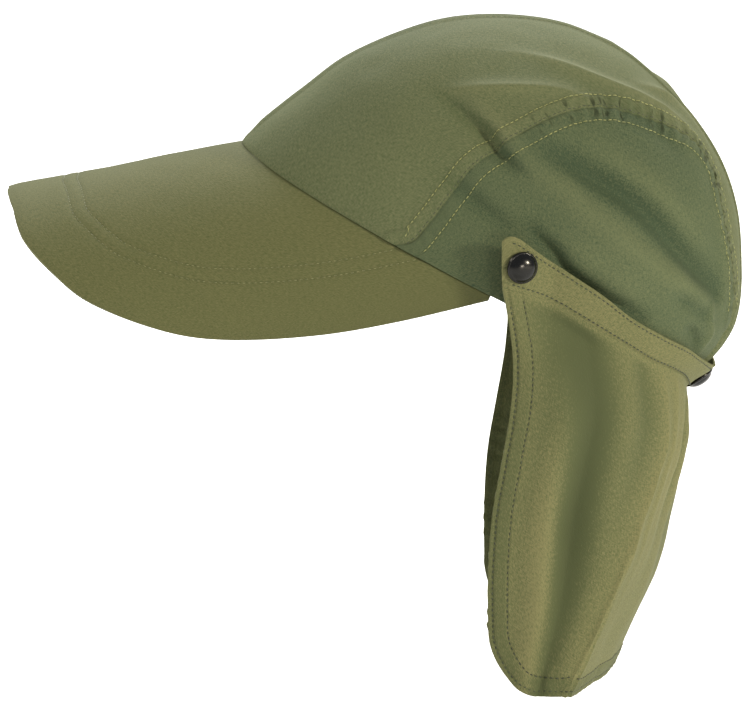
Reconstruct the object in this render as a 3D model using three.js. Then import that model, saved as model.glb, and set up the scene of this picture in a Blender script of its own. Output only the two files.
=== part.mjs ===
// Sun cap with a curved peak and a neck flap that is held by three press studs.
// Millimetres, +Z up, the peak points to -Y and the wearer's left side is +X.
// The origin is the centre of the head opening.
import * as THREE from 'three';
import { mergeVertices } from 'three/addons/utils/BufferGeometryUtils.js';

// Head opening: an oval of two half ellipses in a plane that leans back.
const frontReach = 117;
const rearReach = 94.2;
const halfWidth = 79;
const rimLean = 27.1;

// Crown.
const crownHeight = 106;
const crownWall = 1.5;
const seamGap = 0.5;
const seamRidge = 0.9;
const seamRidgeWidth = 3;

// Peak.
const peakLength = 98.8;
const peakDroop = 11;
const peakWall = 3;

// Neck flap and its stitched top band.
const flapDrop = 172;
const flapWall = 1.3;
const hemCorner = 27;
const bandWall = 2.2;
const bandCorner = 5;
const bandClearance = 0.7;
const tabForward = 8;
const tabStandOff = 9;
const tabLength = 20;
const rearStandOff = 3.4;
const rearTabLength = 34;

// Press studs.
const capDiameter = 13.5;
const capHeight = 3.6;
const studDiameter = 8.4;
const studClearance = 0.35;
const capClearance = 0.6;
const frontCapFromEdge = 5.6;

// Back band of the crown.
const backBandAngle = 165;
const gatherCount = 6;
const gatherDepth = 0.7;

// Where the crown's forms fade, as shares of crownHeight and of halfWidth.
const ridgeStart = 0.3;
const ridgeFull = 0.5;
const gatherFull = 0.12;
const gatherEnd = 0.26;
const foldFade = 0.2;

// Each row is one level of the crown, from below the rim to the top button place.
// rise is the share of the way up the wall, height a share of crownHeight, and
// front, side and rear are shares of the three reaches of the opening.
const crownLevels = [
  { rise: -0.05, height: -0.075, front: 0.99, side: 0.985, rear: 0.95 },
  { rise: 0.0, height: 0.0, front: 1.0, side: 1.0, rear: 0.985 },
  { rise: 0.04, height: 0.06, front: 0.984, side: 1.01, rear: 1.025 },
  { rise: 0.13, height: 0.2, front: 0.93, side: 1.02, rear: 1.055 },
  { rise: 0.2, height: 0.3, front: 0.887, side: 1.015, rear: 1.041 },
  { rise: 0.32, height: 0.47, front: 0.812, side: 0.975, rear: 0.952 },
  { rise: 0.45, height: 0.65, front: 0.685, side: 0.88, rear: 0.824 },
  { rise: 0.6, height: 0.8, front: 0.54, side: 0.72, rear: 0.643 },
  { rise: 0.745, height: 0.91, front: 0.365, side: 0.5, rear: 0.408 },
  { rise: 0.885, height: 0.98, front: 0.18, side: 0.25, rear: 0.154 },
  { rise: 1.0, height: 1.0, front: 0.0, side: 0.0, rear: 0.0 },
];

// The seam between the top and side panels, from the temple to the back band.
// angle is in degrees from the front, rise as in the crown's levels.
const seamPoints = [
  { angle: 67, rise: 0.0 },
  { angle: 69.6, rise: 0.03 },
  { angle: 70.2, rise: 0.1 },
  { angle: 70.2, rise: 0.19 },
  { angle: 70.6, rise: 0.27 },
  { angle: 73, rise: 0.355 },
  { angle: 76, rise: 0.42 },
  { angle: 79.8, rise: 0.49 },
  { angle: 84.5, rise: 0.55 },
  { angle: 91, rise: 0.6 },
  { angle: 99, rise: 0.635 },
  { angle: 110, rise: 0.657 },
  { angle: 122, rise: 0.665 },
  { angle: 134, rise: 0.66 },
  { angle: 145, rise: 0.645 },
  { angle: 152, rise: 0.614 },
  { angle: 156, rise: 0.565 },
  { angle: 156, rise: 0.51 },
  { angle: 155.5, rise: 0.45 },
  { angle: 158, rise: 0.38 },
  { angle: 162, rise: 0.3 },
  { angle: 164.3, rise: 0.235 },
  { angle: backBandAngle, rise: 0.185 },
];

// Folds of the crown. Each runs straight, seen from the side, from its first to its
// last point. along is a share of the opening's half length, up a share of
// crownHeight, width and depth are shares of crownHeight, and a depth under 0 is a
// valley.
const crownFolds = [
  { along: -0.3, up: 0.58, toAlong: -0.03, toUp: 0.49, width: 0.05, depth: -0.032 },
  { along: -0.21, up: 0.86, toAlong: 0.21, toUp: 0.9, width: 0.055, depth: 0.024 },
  { along: 0.21, up: 0.9, toAlong: 0.5, toUp: 0.88, width: 0.05, depth: 0.022 },
  { along: -0.38, up: 0.63, toAlong: 0.04, toUp: 0.84, width: 0.05, depth: 0.018 },
  { along: -0.1, up: 0.79, toAlong: 0.3, toUp: 0.84, width: 0.045, depth: -0.018 },
  { along: 0.03, up: 0.59, toAlong: 0.45, toUp: 0.57, width: 0.06, depth: -0.036 },
  { along: 0.45, up: 0.57, toAlong: 0.86, toUp: 0.4, width: 0.06, depth: -0.034 },
  { along: 0.06, up: 0.49, toAlong: 0.46, toUp: 0.4, width: 0.055, depth: 0.022 },
  { along: 0.46, up: 0.4, toAlong: 0.86, toUp: 0.31, width: 0.055, depth: 0.022 },
  { along: -0.14, up: 0.29, toAlong: 0.07, toUp: 0.3, width: 0.05, depth: -0.028 },
  { along: 0.17, up: 0.3, toAlong: 0.36, toUp: 0.25, width: 0.05, depth: -0.024 },
  { along: 0.78, up: 0.27, toAlong: 0.91, toUp: 0.24, width: 0.045, depth: -0.03 },
];

// Outer edge of the peak, from its middle to the temple. seamAngle is where the row
// starts on the rim, edgeAngle where it ends on the arch, both in degrees from the
// front, and reach is the row's length as a share of peakLength.
const peakRows = [
  { share: 0.0, seamAngle: 0, edgeAngle: 0, reach: 1.0 },
  { share: 0.1, seamAngle: 9, edgeAngle: 19, reach: 1.036 },
  { share: 0.2, seamAngle: 18, edgeAngle: 37, reach: 1.143 },
  { share: 0.3, seamAngle: 27, edgeAngle: 52, reach: 1.219 },
  { share: 0.42, seamAngle: 38, edgeAngle: 66, reach: 1.271 },
  { share: 0.56, seamAngle: 52, edgeAngle: 81, reach: 1.199 },
  { share: 0.66, seamAngle: 62, edgeAngle: 87, reach: 1.055 },
  { share: 0.78, seamAngle: 73, edgeAngle: 91, reach: 0.746 },
  { share: 0.88, seamAngle: 81, edgeAngle: 91.5, reach: 0.442 },
  { share: 1.0, seamAngle: 89, edgeAngle: 90.2, reach: 0.03 },
];

// Top band of the flap, from the rear middle to the front edge. share is the share
// of the flap's half length, angles are in degrees from the front, and heights are
// shares of crownHeight above the rim plane.
const bandRows = [
  { share: 0.0, topAngle: 180, topHeight: 0.057, lowAngle: 180, lowHeight: -0.075 },
  { share: 0.12, topAngle: 168, topHeight: 0.07, lowAngle: 168, lowHeight: -0.04 },
  { share: 0.235, topAngle: 156, topHeight: 0.1, lowAngle: 157, lowHeight: 0.012 },
  { share: 0.34, topAngle: 146, topHeight: 0.124, lowAngle: 147, lowHeight: 0.03 },
  { share: 0.465, topAngle: 134, topHeight: 0.14, lowAngle: 136, lowHeight: 0.037 },
  { share: 0.59, topAngle: 122.5, topHeight: 0.16, lowAngle: 126, lowHeight: 0.055 },
  { share: 0.705, topAngle: 112.5, topHeight: 0.195, lowAngle: 116.5, lowHeight: 0.07 },
  { share: 0.805, topAngle: 104, topHeight: 0.215, lowAngle: 107.5, lowHeight: 0.085 },
  { share: 0.895, topAngle: 96.5, topHeight: 0.232, lowAngle: 100, lowHeight: 0.09 },
  { share: 1.0, topAngle: 85.5, topHeight: 0.268, lowAngle: 89.8, lowHeight: 0.075 },
];

// Plan of the hanging flap at each level. drop is a share of flapDrop below the
// origin, X places are shares of halfWidth and Y places shares of the half length.
// Each plan runs from the rear middle over a pressed corner and a side to the front
// edge.
const flapLevels = [
  { drop: -0.1, rearY: 0.93, cornerX: 0.7, cornerY: 0.76,
    sideX: 1.12, sideY: 0.5, frontX: 1.05, frontY: 0.13 },
  { drop: 0.1, rearY: 0.91, cornerX: 0.6, cornerY: 0.8,
    sideX: 1.12, sideY: 0.56, frontX: 1.06, frontY: 0.17 },
  { drop: 0.29, rearY: 0.876, cornerX: 0.557, cornerY: 0.81,
    sideX: 1.12, sideY: 0.57, frontX: 1.055, frontY: 0.157 },
  { drop: 0.436, rearY: 0.871, cornerX: 0.633, cornerY: 0.758,
    sideX: 1.09, sideY: 0.5, frontX: 1.045, frontY: 0.118 },
  { drop: 0.552, rearY: 0.838, cornerX: 0.722, cornerY: 0.696,
    sideX: 1.07, sideY: 0.44, frontX: 1.03, frontY: 0.086 },
  { drop: 0.669, rearY: 0.791, cornerX: 0.785, cornerY: 0.634,
    sideX: 1.05, sideY: 0.4, frontX: 1.015, frontY: 0.072 },
  { drop: 0.785, rearY: 0.734, cornerX: 0.854, cornerY: 0.559,
    sideX: 1.03, sideY: 0.36, frontX: 0.995, frontY: 0.07 },
  { drop: 0.884, rearY: 0.668, cornerX: 0.911, cornerY: 0.488,
    sideX: 1.0, sideY: 0.3, frontX: 0.975, frontY: 0.075 },
  { drop: 1.0, rearY: 0.587, cornerX: 0.949, cornerY: 0.388,
    sideX: 0.97, sideY: 0.24, frontX: 0.955, frontY: 0.09 },
];
const pressedCornerShare = 0.42;
const hemCornerShare = 0.36;
const rearRound = 0.3;

// Shares of the flap's height over which it leaves the band and its folds start, and
// shares of the tab lengths that lift evenly.
const settleShare = 0.3;
const foldStart = 0.06;
const tabLead = 0.2;
const rearTabFlat = 0.4;

// Folds of the flap, which run down it. share places are along the half length,
// down is the share of the way down where the fold is deepest, spread how far it
// fades, and width and depth are shares of halfWidth.
const flapFolds = [
  { top: 0.8, low: 0.72, down: 0.7, spread: 0.5, width: 0.1, depth: 0.035 },
  { top: 0.68, low: 0.66, down: 0.6, spread: 0.55, width: 0.09, depth: -0.045 },
  { top: 0.84, low: 0.84, down: 0.08, spread: 0.22, width: 0.12, depth: -0.022 },
  { top: 0.2, low: 0.28, down: 0.3, spread: 0.3, width: 0.08, depth: 0.02 },
  { top: 0.5, low: 0.56, down: 0.15, spread: 0.3, width: 0.06, depth: -0.025 },
];

// Side of a press stud's cap, as shares of its radius and its height.
const capProfile = [
  { radius: 0, height: 0 },
  { radius: 0.93, height: 0 },
  { radius: 1, height: 0.16 },
  { radius: 1, height: 0.36 },
  { radius: 0.9, height: 0.64 },
  { radius: 0.66, height: 0.86 },
  { radius: 0.34, height: 0.97 },
  { radius: 0, height: 1 },
];

// Faces along and across each piece.
const panelSteps = 34;
const panelCrossSteps = 9;
const backEdgeSteps = 4;
const sideCrossSteps = 8;
const peakSteps = 22;
const peakCrossSteps = 10;
const flapSteps = 54;
const flapDownSteps = 11;
const bandDownSteps = 3;
const backBandSteps = 30;
const backBandRises = 4;
const roundSteps = 16;

// Crowding of the flap's stations near its front edges, and small steps for normals
// and for points that are one.
const edgeCrowding = 0.3;
const discStep = 0.004;
const surfaceStep = 1e-3;
const seatStep = 0.02;
const sameDistance = 1e-5;

const { clamp, degToRad, lerp, radToDeg, smoothstep } = THREE.MathUtils;
const halfLength = (frontReach + rearReach) / 2;
const widestBack = (frontReach - rearReach) / 2;
const rimBack = new THREE.Vector3(0, Math.cos(degToRad(rimLean)), -Math.sin(degToRad(rimLean)));
const rimUp = new THREE.Vector3(0, Math.sin(degToRad(rimLean)), Math.cos(degToRad(rimLean)));
const peakForward = new THREE.Vector3(0, -Math.cos(degToRad(peakDroop)), -Math.sin(degToRad(peakDroop)));
const flapHalfLength = Math.PI / 2 * Math.hypot(halfWidth, rearReach) / Math.SQRT2 + tabForward;

// Half the gap of a seam, as an angle at the rear of the rim.
const gapAngle = radToDeg(seamGap / 2 / rearReach);

// Turns a table into a smooth function of its first column.
function smoothTable(rows) {
  const [key, ...names] = Object.keys(rows[0]);
  const places = rows.map((row) => row[key]);
  const values = rows.flatMap((row) => names.map((name) => row[name]));
  const curve = new THREE.CubicInterpolant(places, values, names.length, new Float64Array(names.length));
  return (place) => {
    const found = curve.evaluate(clamp(place, places[0], places[places.length - 1]));
    return Object.fromEntries(names.map((name, index) => [name, found[index]]));
  };
}

const crownLevelAt = smoothTable(crownLevels);
const peakRowAt = smoothTable(peakRows);
const bandRowAt = smoothTable(bandRows);
const flapLevelAt = smoothTable(flapLevels);

// Rise of the crown's wall at a height that is given as a share of crownHeight.
const crownRiseAt = smoothTable(crownLevels.map(({ height, rise }) => ({ height, rise })));

// A point of the rim's frame: across, back along the rim and up from its plane.
function rimPoint(across, back, up) {
  return new THREE.Vector3(across, 0, 0).addScaledVector(rimBack, back).addScaledVector(rimUp, up);
}

// Depth of one straight fold at a place seen from the side.
function foldDepth(fold, back, up) {
  const start = new THREE.Vector3(fold.along * halfLength, fold.up * crownHeight, 0);
  const end = new THREE.Vector3(fold.toAlong * halfLength, fold.toUp * crownHeight, 0);
  const place = new THREE.Vector3(back, up, 0);
  const nearest = new THREE.Line3(start, end).closestPointToPoint(place, true, new THREE.Vector3());
  const spread = fold.width * crownHeight;
  return fold.depth * crownHeight * Math.exp(-((place.distanceTo(nearest) / spread) ** 2));
}

// The crown is a disc pulled over its levels: right is across, ahead is to the front,
// the rim is the unit circle and the top its centre.
function crownBare(right, ahead) {
  const radius = Math.hypot(right, ahead);
  const level = crownLevelAt(1 - radius);
  const sine = radius > 0 ? right / radius : 0;
  const cosine = radius > 0 ? ahead / radius : 0;
  const reach = cosine > 0 ? frontReach * level.front : rearReach * level.rear;
  return {
    across: halfWidth * level.side * sine,
    back: widestBack - reach * cosine,
    up: crownHeight * level.height,
  };
}

// Outward push of the crown's folds, raised middle seam and gathered back band.
function crownPush(bare, right, ahead) {
  const fromMiddle = smoothstep(Math.abs(bare.across), 0, halfWidth * foldFade);
  const folds = crownFolds.reduce((sum, fold) => sum + foldDepth(fold, bare.back, bare.up), 0);
  const onTop = smoothstep(bare.up, crownHeight * ridgeStart, crownHeight * ridgeFull);
  const ridge = seamRidge * onTop * Math.exp(-((bare.across / seamRidgeWidth) ** 2));
  const angle = Math.atan2(right, ahead);
  const turn = (Math.PI - Math.abs(angle)) / (Math.PI - degToRad(backBandAngle));
  const low = 1 - smoothstep(bare.up, crownHeight * gatherFull, crownHeight * gatherEnd);
  const gathered = turn < 1 ? low * (1 - turn ** 4) : 0;
  const gathers = gathered * gatherDepth * Math.cos(turn * gatherCount * Math.PI);
  return folds * fromMiddle + ridge + gathers;
}

// Unit normal of a surface of two numbers, by small steps.
function normalOf(surface, first, second, step) {
  const alongFirst = surface(first + step, second).sub(surface(first - step, second));
  const alongSecond = surface(first, second + step).sub(surface(first, second - step));
  return alongFirst.cross(alongSecond).normalize();
}

// The crown's outer face without its folds, and its outward direction.
function crownSmooth(ahead, right) {
  const bare = crownBare(right, ahead);
  return rimPoint(bare.across, bare.back, bare.up);
}

function crownOut(ahead, right) {
  return normalOf(crownSmooth, ahead, right, discStep);
}

function crownFolded(ahead, right) {
  const push = crownPush(crownBare(right, ahead), right, ahead);
  return crownSmooth(ahead, right).addScaledVector(crownOut(ahead, right), push);
}

// A point at a distance outwards from the crown's folded outer face.
function crownPoint(right, ahead, outward = 0) {
  const point = crownFolded(ahead, right);
  if (outward === 0) {
    return point;
  }
  return point.addScaledVector(normalOf(crownFolded, ahead, right, discStep), outward);
}

// Disc place of an angle from the front and a rise of the wall.
function discPlace(angle, rise) {
  const radius = 1 - rise;
  return new THREE.Vector2(radius * Math.sin(degToRad(angle)), radius * Math.cos(degToRad(angle)));
}

// A closed wall: a flat box whose two large faces are carried onto two surfaces.
function wallGeometry(steps, crossSteps, outerAt, innerAt) {
  const box = new THREE.BoxGeometry(1, 1, 1, steps, crossSteps, 1);
  box.deleteAttribute('normal');
  box.deleteAttribute('uv');
  const places = box.attributes.position;
  for (let index = 0; index < places.count; index += 1) {
    const surface = places.getZ(index) > 0 ? outerAt : innerAt;
    const point = surface(places.getX(index) + 0.5, places.getY(index) + 0.5);
    places.setXYZ(index, point.x, point.y, point.z);
  }
  return facingOut(mergeVertices(box, sameDistance));
}

// Signed volume of a closed mesh, over or under zero as its faces point out or in.
function signedVolume(geometry) {
  const places = geometry.attributes.position;
  const corners = geometry.index.array;
  const [a, b, c] = [new THREE.Vector3(), new THREE.Vector3(), new THREE.Vector3()];
  let volume = 0;
  for (let index = 0; index < corners.length; index += 3) {
    a.fromBufferAttribute(places, corners[index]);
    b.fromBufferAttribute(places, corners[index + 1]);
    c.fromBufferAttribute(places, corners[index + 2]);
    volume += a.dot(b.cross(c)) / 6;
  }
  return volume;
}

function facingOut(geometry) {
  if (signedVolume(geometry) < 0) {
    const corners = geometry.index.array;
    for (let index = 0; index < corners.length; index += 3) {
      [corners[index], corners[index + 1]] = [corners[index + 1], corners[index]];
    }
  }
  return geometry;
}

function mirrored(geometry) {
  return facingOut(geometry.clone().scale(-1, 1, 1));
}

// The seam as a curve on the disc, even along its length.
const seamCurve = new THREE.CatmullRomCurve3(seamPoints.map((point) => {
  const place = discPlace(point.angle, point.rise);
  return new THREE.Vector3(place.x, place.y, 0);
}), false, 'centripetal');
const seamStart = seamPoints[0];
const seamEnd = seamPoints[seamPoints.length - 1];

// Place on the seam, moved by a distance square to it: over zero to the top panel.
function seamEdge(share, shift) {
  const clamped = clamp(share, 0, 1);
  const point = seamCurve.getPointAt(clamped);
  const tangent = seamCurve.getTangentAt(clamped);
  const square = new THREE.Vector2(tangent.y, -tangent.x);
  const probe = 0.01;
  const base = crownPoint(point.x, point.y);
  const scale = base.distanceTo(crownPoint(point.x + square.x * probe, point.y + square.y * probe)) / probe;
  const toMiddle = square.x * point.x > 0 ? -1 : 1;
  const place = new THREE.Vector2(point.x, point.y).addScaledVector(square, toMiddle * shift / scale);
  return place.clampLength(0, 1);
}

// Place on the left half of the top panel: a patch between the middle of the crown,
// the side seam, the front rim and the back band.
function topPanelPlace(along, across) {
  const backRise = seamEnd.rise + seamGap / crownHeight;
  const middleAt = (share) => discPlace(0, 0).lerp(discPlace(180, backRise), share);
  const frontAt = (turn) => discPlace(seamStart.angle * turn, 0);
  const rearAt = (turn) => discPlace(180 + (seamEnd.angle - 180) * turn, backRise);
  const sideAt = (share) => seamEdge(share, seamGap / 2);
  const corners = frontAt(0).lerp(frontAt(1), across).lerp(rearAt(0).lerp(rearAt(1), across), along);
  const place = middleAt(along).lerp(sideAt(along), across)
    .add(frontAt(across).lerp(rearAt(across), along)).sub(corners);
  const middleLimit = seamGap / 2 / halfWidth;
  return new THREE.Vector2(Math.max(place.x, middleLimit), place.y);
}

// Place on the left side panel: rows from the rim up to the seam, then to the edge
// of the back band.
function sidePanelPlace(along, across) {
  const seamShare = along * (panelSteps + backEdgeSteps) / panelSteps;
  const cornerAngle = 2;
  const rimAngle = lerp(seamStart.angle + cornerAngle, backBandAngle - cornerAngle, along);
  const downEdge = Math.max(seamShare - 1, 0) * panelSteps / backEdgeSteps;
  const onEdge = discPlace(backBandAngle - gapAngle * 2, seamEnd.rise * (1 - downEdge));
  const to = seamShare < 1 ? seamEdge(seamShare, -seamGap / 2) : onEdge;
  return discPlace(rimAngle, 0).lerp(to, across);
}

function backBandPlace(along, across) {
  const angle = lerp(backBandAngle + gapAngle, 360 - backBandAngle - gapAngle, along);
  const rise = lerp(crownLevels[0].rise, seamEnd.rise - seamGap / crownHeight, across);
  return discPlace(angle, rise);
}

function crownPiece(steps, crossSteps, placeAt) {
  const surface = (outward) => (along, across) => {
    const place = placeAt(along, across);
    return crownPoint(place.x, place.y, outward);
  };
  return wallGeometry(steps, crossSteps, surface(0), surface(-crownWall));
}

// The peak is the front rim carried forward along its middle line.
function peakOuter(along, across) {
  const side = 2 * along - 1;
  const row = peakRowAt(Math.abs(side));
  const angle = Math.sign(side) * lerp(row.seamAngle, row.edgeAngle, across);
  const acrossRim = halfWidth * Math.sin(degToRad(angle));
  const backRim = widestBack - frontReach * Math.cos(degToRad(angle));
  const onRim = rimPoint(acrossRim, backRim, -seamGap);
  return onRim.addScaledVector(peakForward, row.reach * peakLength * across);
}

// The same surface moved inwards by a wall, along its own normal.
function insideOf(surface, wall, inwards) {
  return (along, across) => {
    const first = clamp(along, surfaceStep, 1 - surfaceStep);
    const second = clamp(across, surfaceStep, 1 - surfaceStep);
    const normal = normalOf(surface, first, second, surfaceStep);
    return surface(along, across).addScaledVector(normal, wall * inwards);
  };
}

// Pull-in of a rounded corner at a distance from its end.
function cornerPull(distance, radius) {
  return distance >= radius ? 0 : radius - Math.sqrt(radius ** 2 - (radius - distance) ** 2);
}

// Stations along the flap lie closer together near its front edges.
function flapShare(along) {
  const fromEdge = 1 - Math.abs(2 * along - 1);
  return 1 - (edgeCrowding * fromEdge + (1 - edgeCrowding) * fromEdge ** 2);
}

function flapSide(along) {
  return along < 0.5 ? -1 : 1;
}

// How far the band stands off the crown: it lifts at the front edges, and the rear
// stud holds it off at the back.
function standOff(share) {
  const fromFront = (1 - share) * flapHalfLength;
  const fromRear = share * flapHalfLength;
  const front = 1 - smoothstep(fromFront, -tabLength * tabLead, tabLength);
  const rear = 1 - smoothstep(fromRear, rearTabLength * rearTabFlat, rearTabLength);
  return bandClearance + (tabStandOff - bandClearance) * front + (rearStandOff - bandClearance) * rear;
}

// A point off the unfolded crown at an angle, a height share and a distance from it.
function offCrown(angle, height, distance) {
  const place = discPlace(angle, crownRiseAt(height).rise);
  return crownSmooth(place.y, place.x).addScaledVector(crownOut(place.y, place.x), distance);
}

// Outer face of the band. across runs from the top edge down to the lower edge.
function bandPoint(share, across, thickness) {
  const row = bandRowAt(share);
  const pull = cornerPull((1 - share) * flapHalfLength, bandCorner) / crownHeight;
  const angle = lerp(row.topAngle, row.lowAngle, across);
  const height = lerp(row.topHeight - pull, row.lowHeight, across);
  return offCrown(angle, height, standOff(share) + thickness);
}

// Plan place of the hanging flap at one level.
function flapPlan(share, depth) {
  const level = flapLevelAt(-depth / flapDrop);
  const place = (x, y) => new THREE.Vector3(x * halfWidth, y * halfLength, depth);
  const corner = place(level.cornerX, level.cornerY);
  if (share < pressedCornerShare) {
    const bend = place(level.cornerX / 2, lerp(level.rearY, level.cornerY, rearRound));
    const rear = new THREE.QuadraticBezierCurve3(place(0, level.rearY), bend, corner);
    return rear.getPoint(share / pressedCornerShare);
  }
  const front = new THREE.QuadraticBezierCurve3(corner, place(level.sideX, level.sideY),
    place(level.frontX, level.frontY));
  return front.getPoint((share - pressedCornerShare) / (1 - pressedCornerShare));
}

// Sideways push of the flap's folds, along the outward plan direction.
function flapPush(share, down) {
  return flapFolds.reduce((sum, fold) => {
    const middle = lerp(fold.top, fold.low, down);
    const beside = (share - middle) / fold.width;
    const above = (down - fold.down) / fold.spread;
    return sum + fold.depth * halfWidth * Math.exp(-(beside ** 2) - above ** 2);
  }, 0);
}

// Outer face of the flap. It starts at the band's lower edge and hangs to the hem.
function flapPoint(share, down) {
  const thickness = (bandWall + flapWall) / 2;
  const top = bandPoint(share, 1, thickness).addScaledVector(rimUp, -seamGap);
  const hem = -flapDrop + hemCorner * cornerPull((1 - share) / hemCornerShare, 1);
  const depth = lerp(top.z, hem, down);
  const hung = flapPlan(share, depth);
  const settle = top.clone().sub(flapPlan(share, top.z));
  settle.multiplyScalar(1 - smoothstep(down, 0, settleShare));
  const outward = new THREE.Vector3(hung.x, Math.max(hung.y - widestBack, 0), 0).normalize();
  const fadeIn = smoothstep(down, 0, foldStart);
  return hung.add(settle).addScaledVector(outward, flapPush(share, down) * fadeIn);
}

function onSide(point, side) {
  point.x *= side;
  return point;
}

const bandOuter = (along, across) => onSide(bandPoint(flapShare(along), across, bandWall), flapSide(along));
const bandInner = (along, across) => onSide(bandPoint(flapShare(along), across, 0), flapSide(along));
const flapOuter = (along, across) => onSide(flapPoint(flapShare(along), across), flapSide(along));

// Press studs: a domed cap outside the band and a plain stud between band and crown.
function turnedPiece(profile) {
  const points = profile.map(([radius, height]) => new THREE.Vector2(radius, height));
  const turned = new THREE.LatheGeometry(points, roundSteps);
  turned.deleteAttribute('normal');
  turned.deleteAttribute('uv');
  return facingOut(mergeVertices(turned, sameDistance));
}

function capGeometry() {
  return turnedPiece(capProfile.map((row) => [row.radius * capDiameter / 2, row.height * capHeight]));
}

function studGeometry(length) {
  const radius = studDiameter / 2;
  return turnedPiece([[0, 0], [radius, 0], [radius, length], [0, length]]);
}

// Where a press stud sits on the band: its place on both faces, the direction that
// it looks in and the room that a straight stud has behind it.
function snapSeat(share) {
  const outer = bandPoint(share, 0.5, bandWall);
  const inner = bandPoint(share, 0.5, 0);
  const off = outer.clone().sub(inner).normalize();
  const down = bandPoint(share, 0.5 + seatStep, bandWall).sub(bandPoint(share, 0.5 - seatStep, bandWall));
  const ahead = bandPoint(share + seatStep, 0.5, bandWall);
  const behind = bandPoint(Math.max(share - seatStep, 0), 0.5, bandWall);
  const level = share > 0 ? ahead.sub(behind) : new THREE.Vector3(1, 0, 0);
  const direction = down.cross(level).normalize();
  direction.multiplyScalar(Math.sign(direction.dot(off)));
  const room = standOff(share) - Math.tan(direction.angleTo(off)) * studDiameter / 2;
  return { outer, inner, direction, room };
}

const finishes = {
  crown: new THREE.MeshStandardMaterial({ color: 0x6c7550, roughness: 0.86, metalness: 0 }),
  peak: new THREE.MeshStandardMaterial({ color: 0x6f774f, roughness: 0.86, metalness: 0 }),
  flap: new THREE.MeshStandardMaterial({ color: 0x7a7c50, roughness: 0.86, metalness: 0 }),
  snap: new THREE.MeshStandardMaterial({ color: 0x121414, roughness: 0.18, metalness: 0 }),
  stud: new THREE.MeshStandardMaterial({ color: 0x1c1e1e, roughness: 0.4, metalness: 0 }),
};

const cap = new THREE.Group();

function addPiece(name, geometry, finish) {
  const piece = new THREE.Mesh(geometry, finish.clone());
  piece.name = name;
  cap.add(piece);
  return piece;
}

function addCrown() {
  const top = crownPiece(panelSteps, panelCrossSteps, topPanelPlace);
  const side = crownPiece(panelSteps + backEdgeSteps, sideCrossSteps, sidePanelPlace);
  addPiece('top_panel_left', top, finishes.crown);
  addPiece('top_panel_right', mirrored(top), finishes.crown);
  addPiece('side_panel_left', side, finishes.crown);
  addPiece('side_panel_right', mirrored(side), finishes.crown);
  addPiece('back_band', crownPiece(backBandSteps, backBandRises, backBandPlace), finishes.crown);
}

function addPeak() {
  const inner = insideOf(peakOuter, peakWall, peakInwards());
  addPiece('peak', wallGeometry(peakSteps, peakCrossSteps, peakOuter, inner), finishes.peak);
}

// Sign that turns the peak's normal to its hollow side.
function peakInwards() {
  return normalOf(peakOuter, 0.5, 0.5, surfaceStep).z > 0 ? -1 : 1;
}

function flapInwards() {
  return normalOf(flapOuter, 0.9, 0.5, surfaceStep).x > 0 ? -1 : 1;
}

function addFlap() {
  const inner = insideOf(flapOuter, flapWall, flapInwards());
  addPiece('neck_flap', wallGeometry(flapSteps, flapDownSteps, flapOuter, inner), finishes.flap);
  addPiece('flap_band', wallGeometry(flapSteps, bandDownSteps, bandOuter, bandInner), finishes.flap);
}

function addSnap(place, seat, side) {
  const direction = onSide(seat.direction.clone(), side);
  const turn = new THREE.Quaternion().setFromUnitVectors(new THREE.Vector3(0, 1, 0), direction);
  const button = addPiece(`snap_cap_${place}`, capGeometry(), finishes.snap);
  button.position.copy(onSide(seat.outer.clone(), side)).addScaledVector(direction, capClearance);
  button.quaternion.copy(turn);
  const length = seat.room - gatherDepth - 2 * studClearance;
  const stud = addPiece(`snap_stud_${place}`, studGeometry(length), finishes.stud);
  stud.position.copy(onSide(seat.inner.clone(), side)).addScaledVector(direction, -studClearance - length);
  stud.quaternion.copy(turn);
}

function addSnaps() {
  const frontSeat = snapSeat(1 - frontCapFromEdge / flapHalfLength);
  addSnap('left', frontSeat, 1);
  addSnap('right', frontSeat, -1);
  addSnap('rear', snapSeat(0), 1);
}

addCrown();
addPeak();
addFlap();
addSnaps();

export default cap;
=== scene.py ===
import logging
import math
from dataclasses import dataclass
from enum import Enum
from typing import Callable, Sequence

import bmesh
import bpy
import numpy as np
from mathutils import Matrix, Vector, noise


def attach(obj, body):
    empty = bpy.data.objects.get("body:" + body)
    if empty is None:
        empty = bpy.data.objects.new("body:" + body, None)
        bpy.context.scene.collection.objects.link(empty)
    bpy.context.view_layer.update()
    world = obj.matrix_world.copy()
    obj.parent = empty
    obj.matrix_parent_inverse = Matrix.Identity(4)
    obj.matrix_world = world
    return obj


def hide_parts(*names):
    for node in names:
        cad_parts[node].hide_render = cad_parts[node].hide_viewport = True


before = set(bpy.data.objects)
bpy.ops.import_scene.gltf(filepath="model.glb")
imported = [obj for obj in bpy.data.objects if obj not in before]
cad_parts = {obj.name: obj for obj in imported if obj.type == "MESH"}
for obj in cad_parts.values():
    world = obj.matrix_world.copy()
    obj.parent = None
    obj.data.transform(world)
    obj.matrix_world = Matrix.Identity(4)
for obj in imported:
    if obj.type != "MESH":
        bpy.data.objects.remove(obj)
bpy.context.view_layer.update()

# A sun cap with a curved peak and a neck flap that three press studs hold.
# Metres, +Z up. The peak points to -Y and the wearer's left side is +X.

log = logging.getLogger("sun_cap")
Array = np.ndarray
Surface = Callable[[Array, Array], Array]
Places = Callable[[Array, Array], tuple[Array, Array]]
Marks = Callable[[Array, Array, Array], dict[str, Array]]
Row = tuple[Array, Array]
Point = tuple[float, float, float]

BODY = "root"
MM = 0.001
TINY = 1e-12
HEAD_MIDDLE = np.array([0.0, 0.01, -0.05])
FLAT_PLAN = np.array([1.0, 1.0, 0.0])


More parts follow.
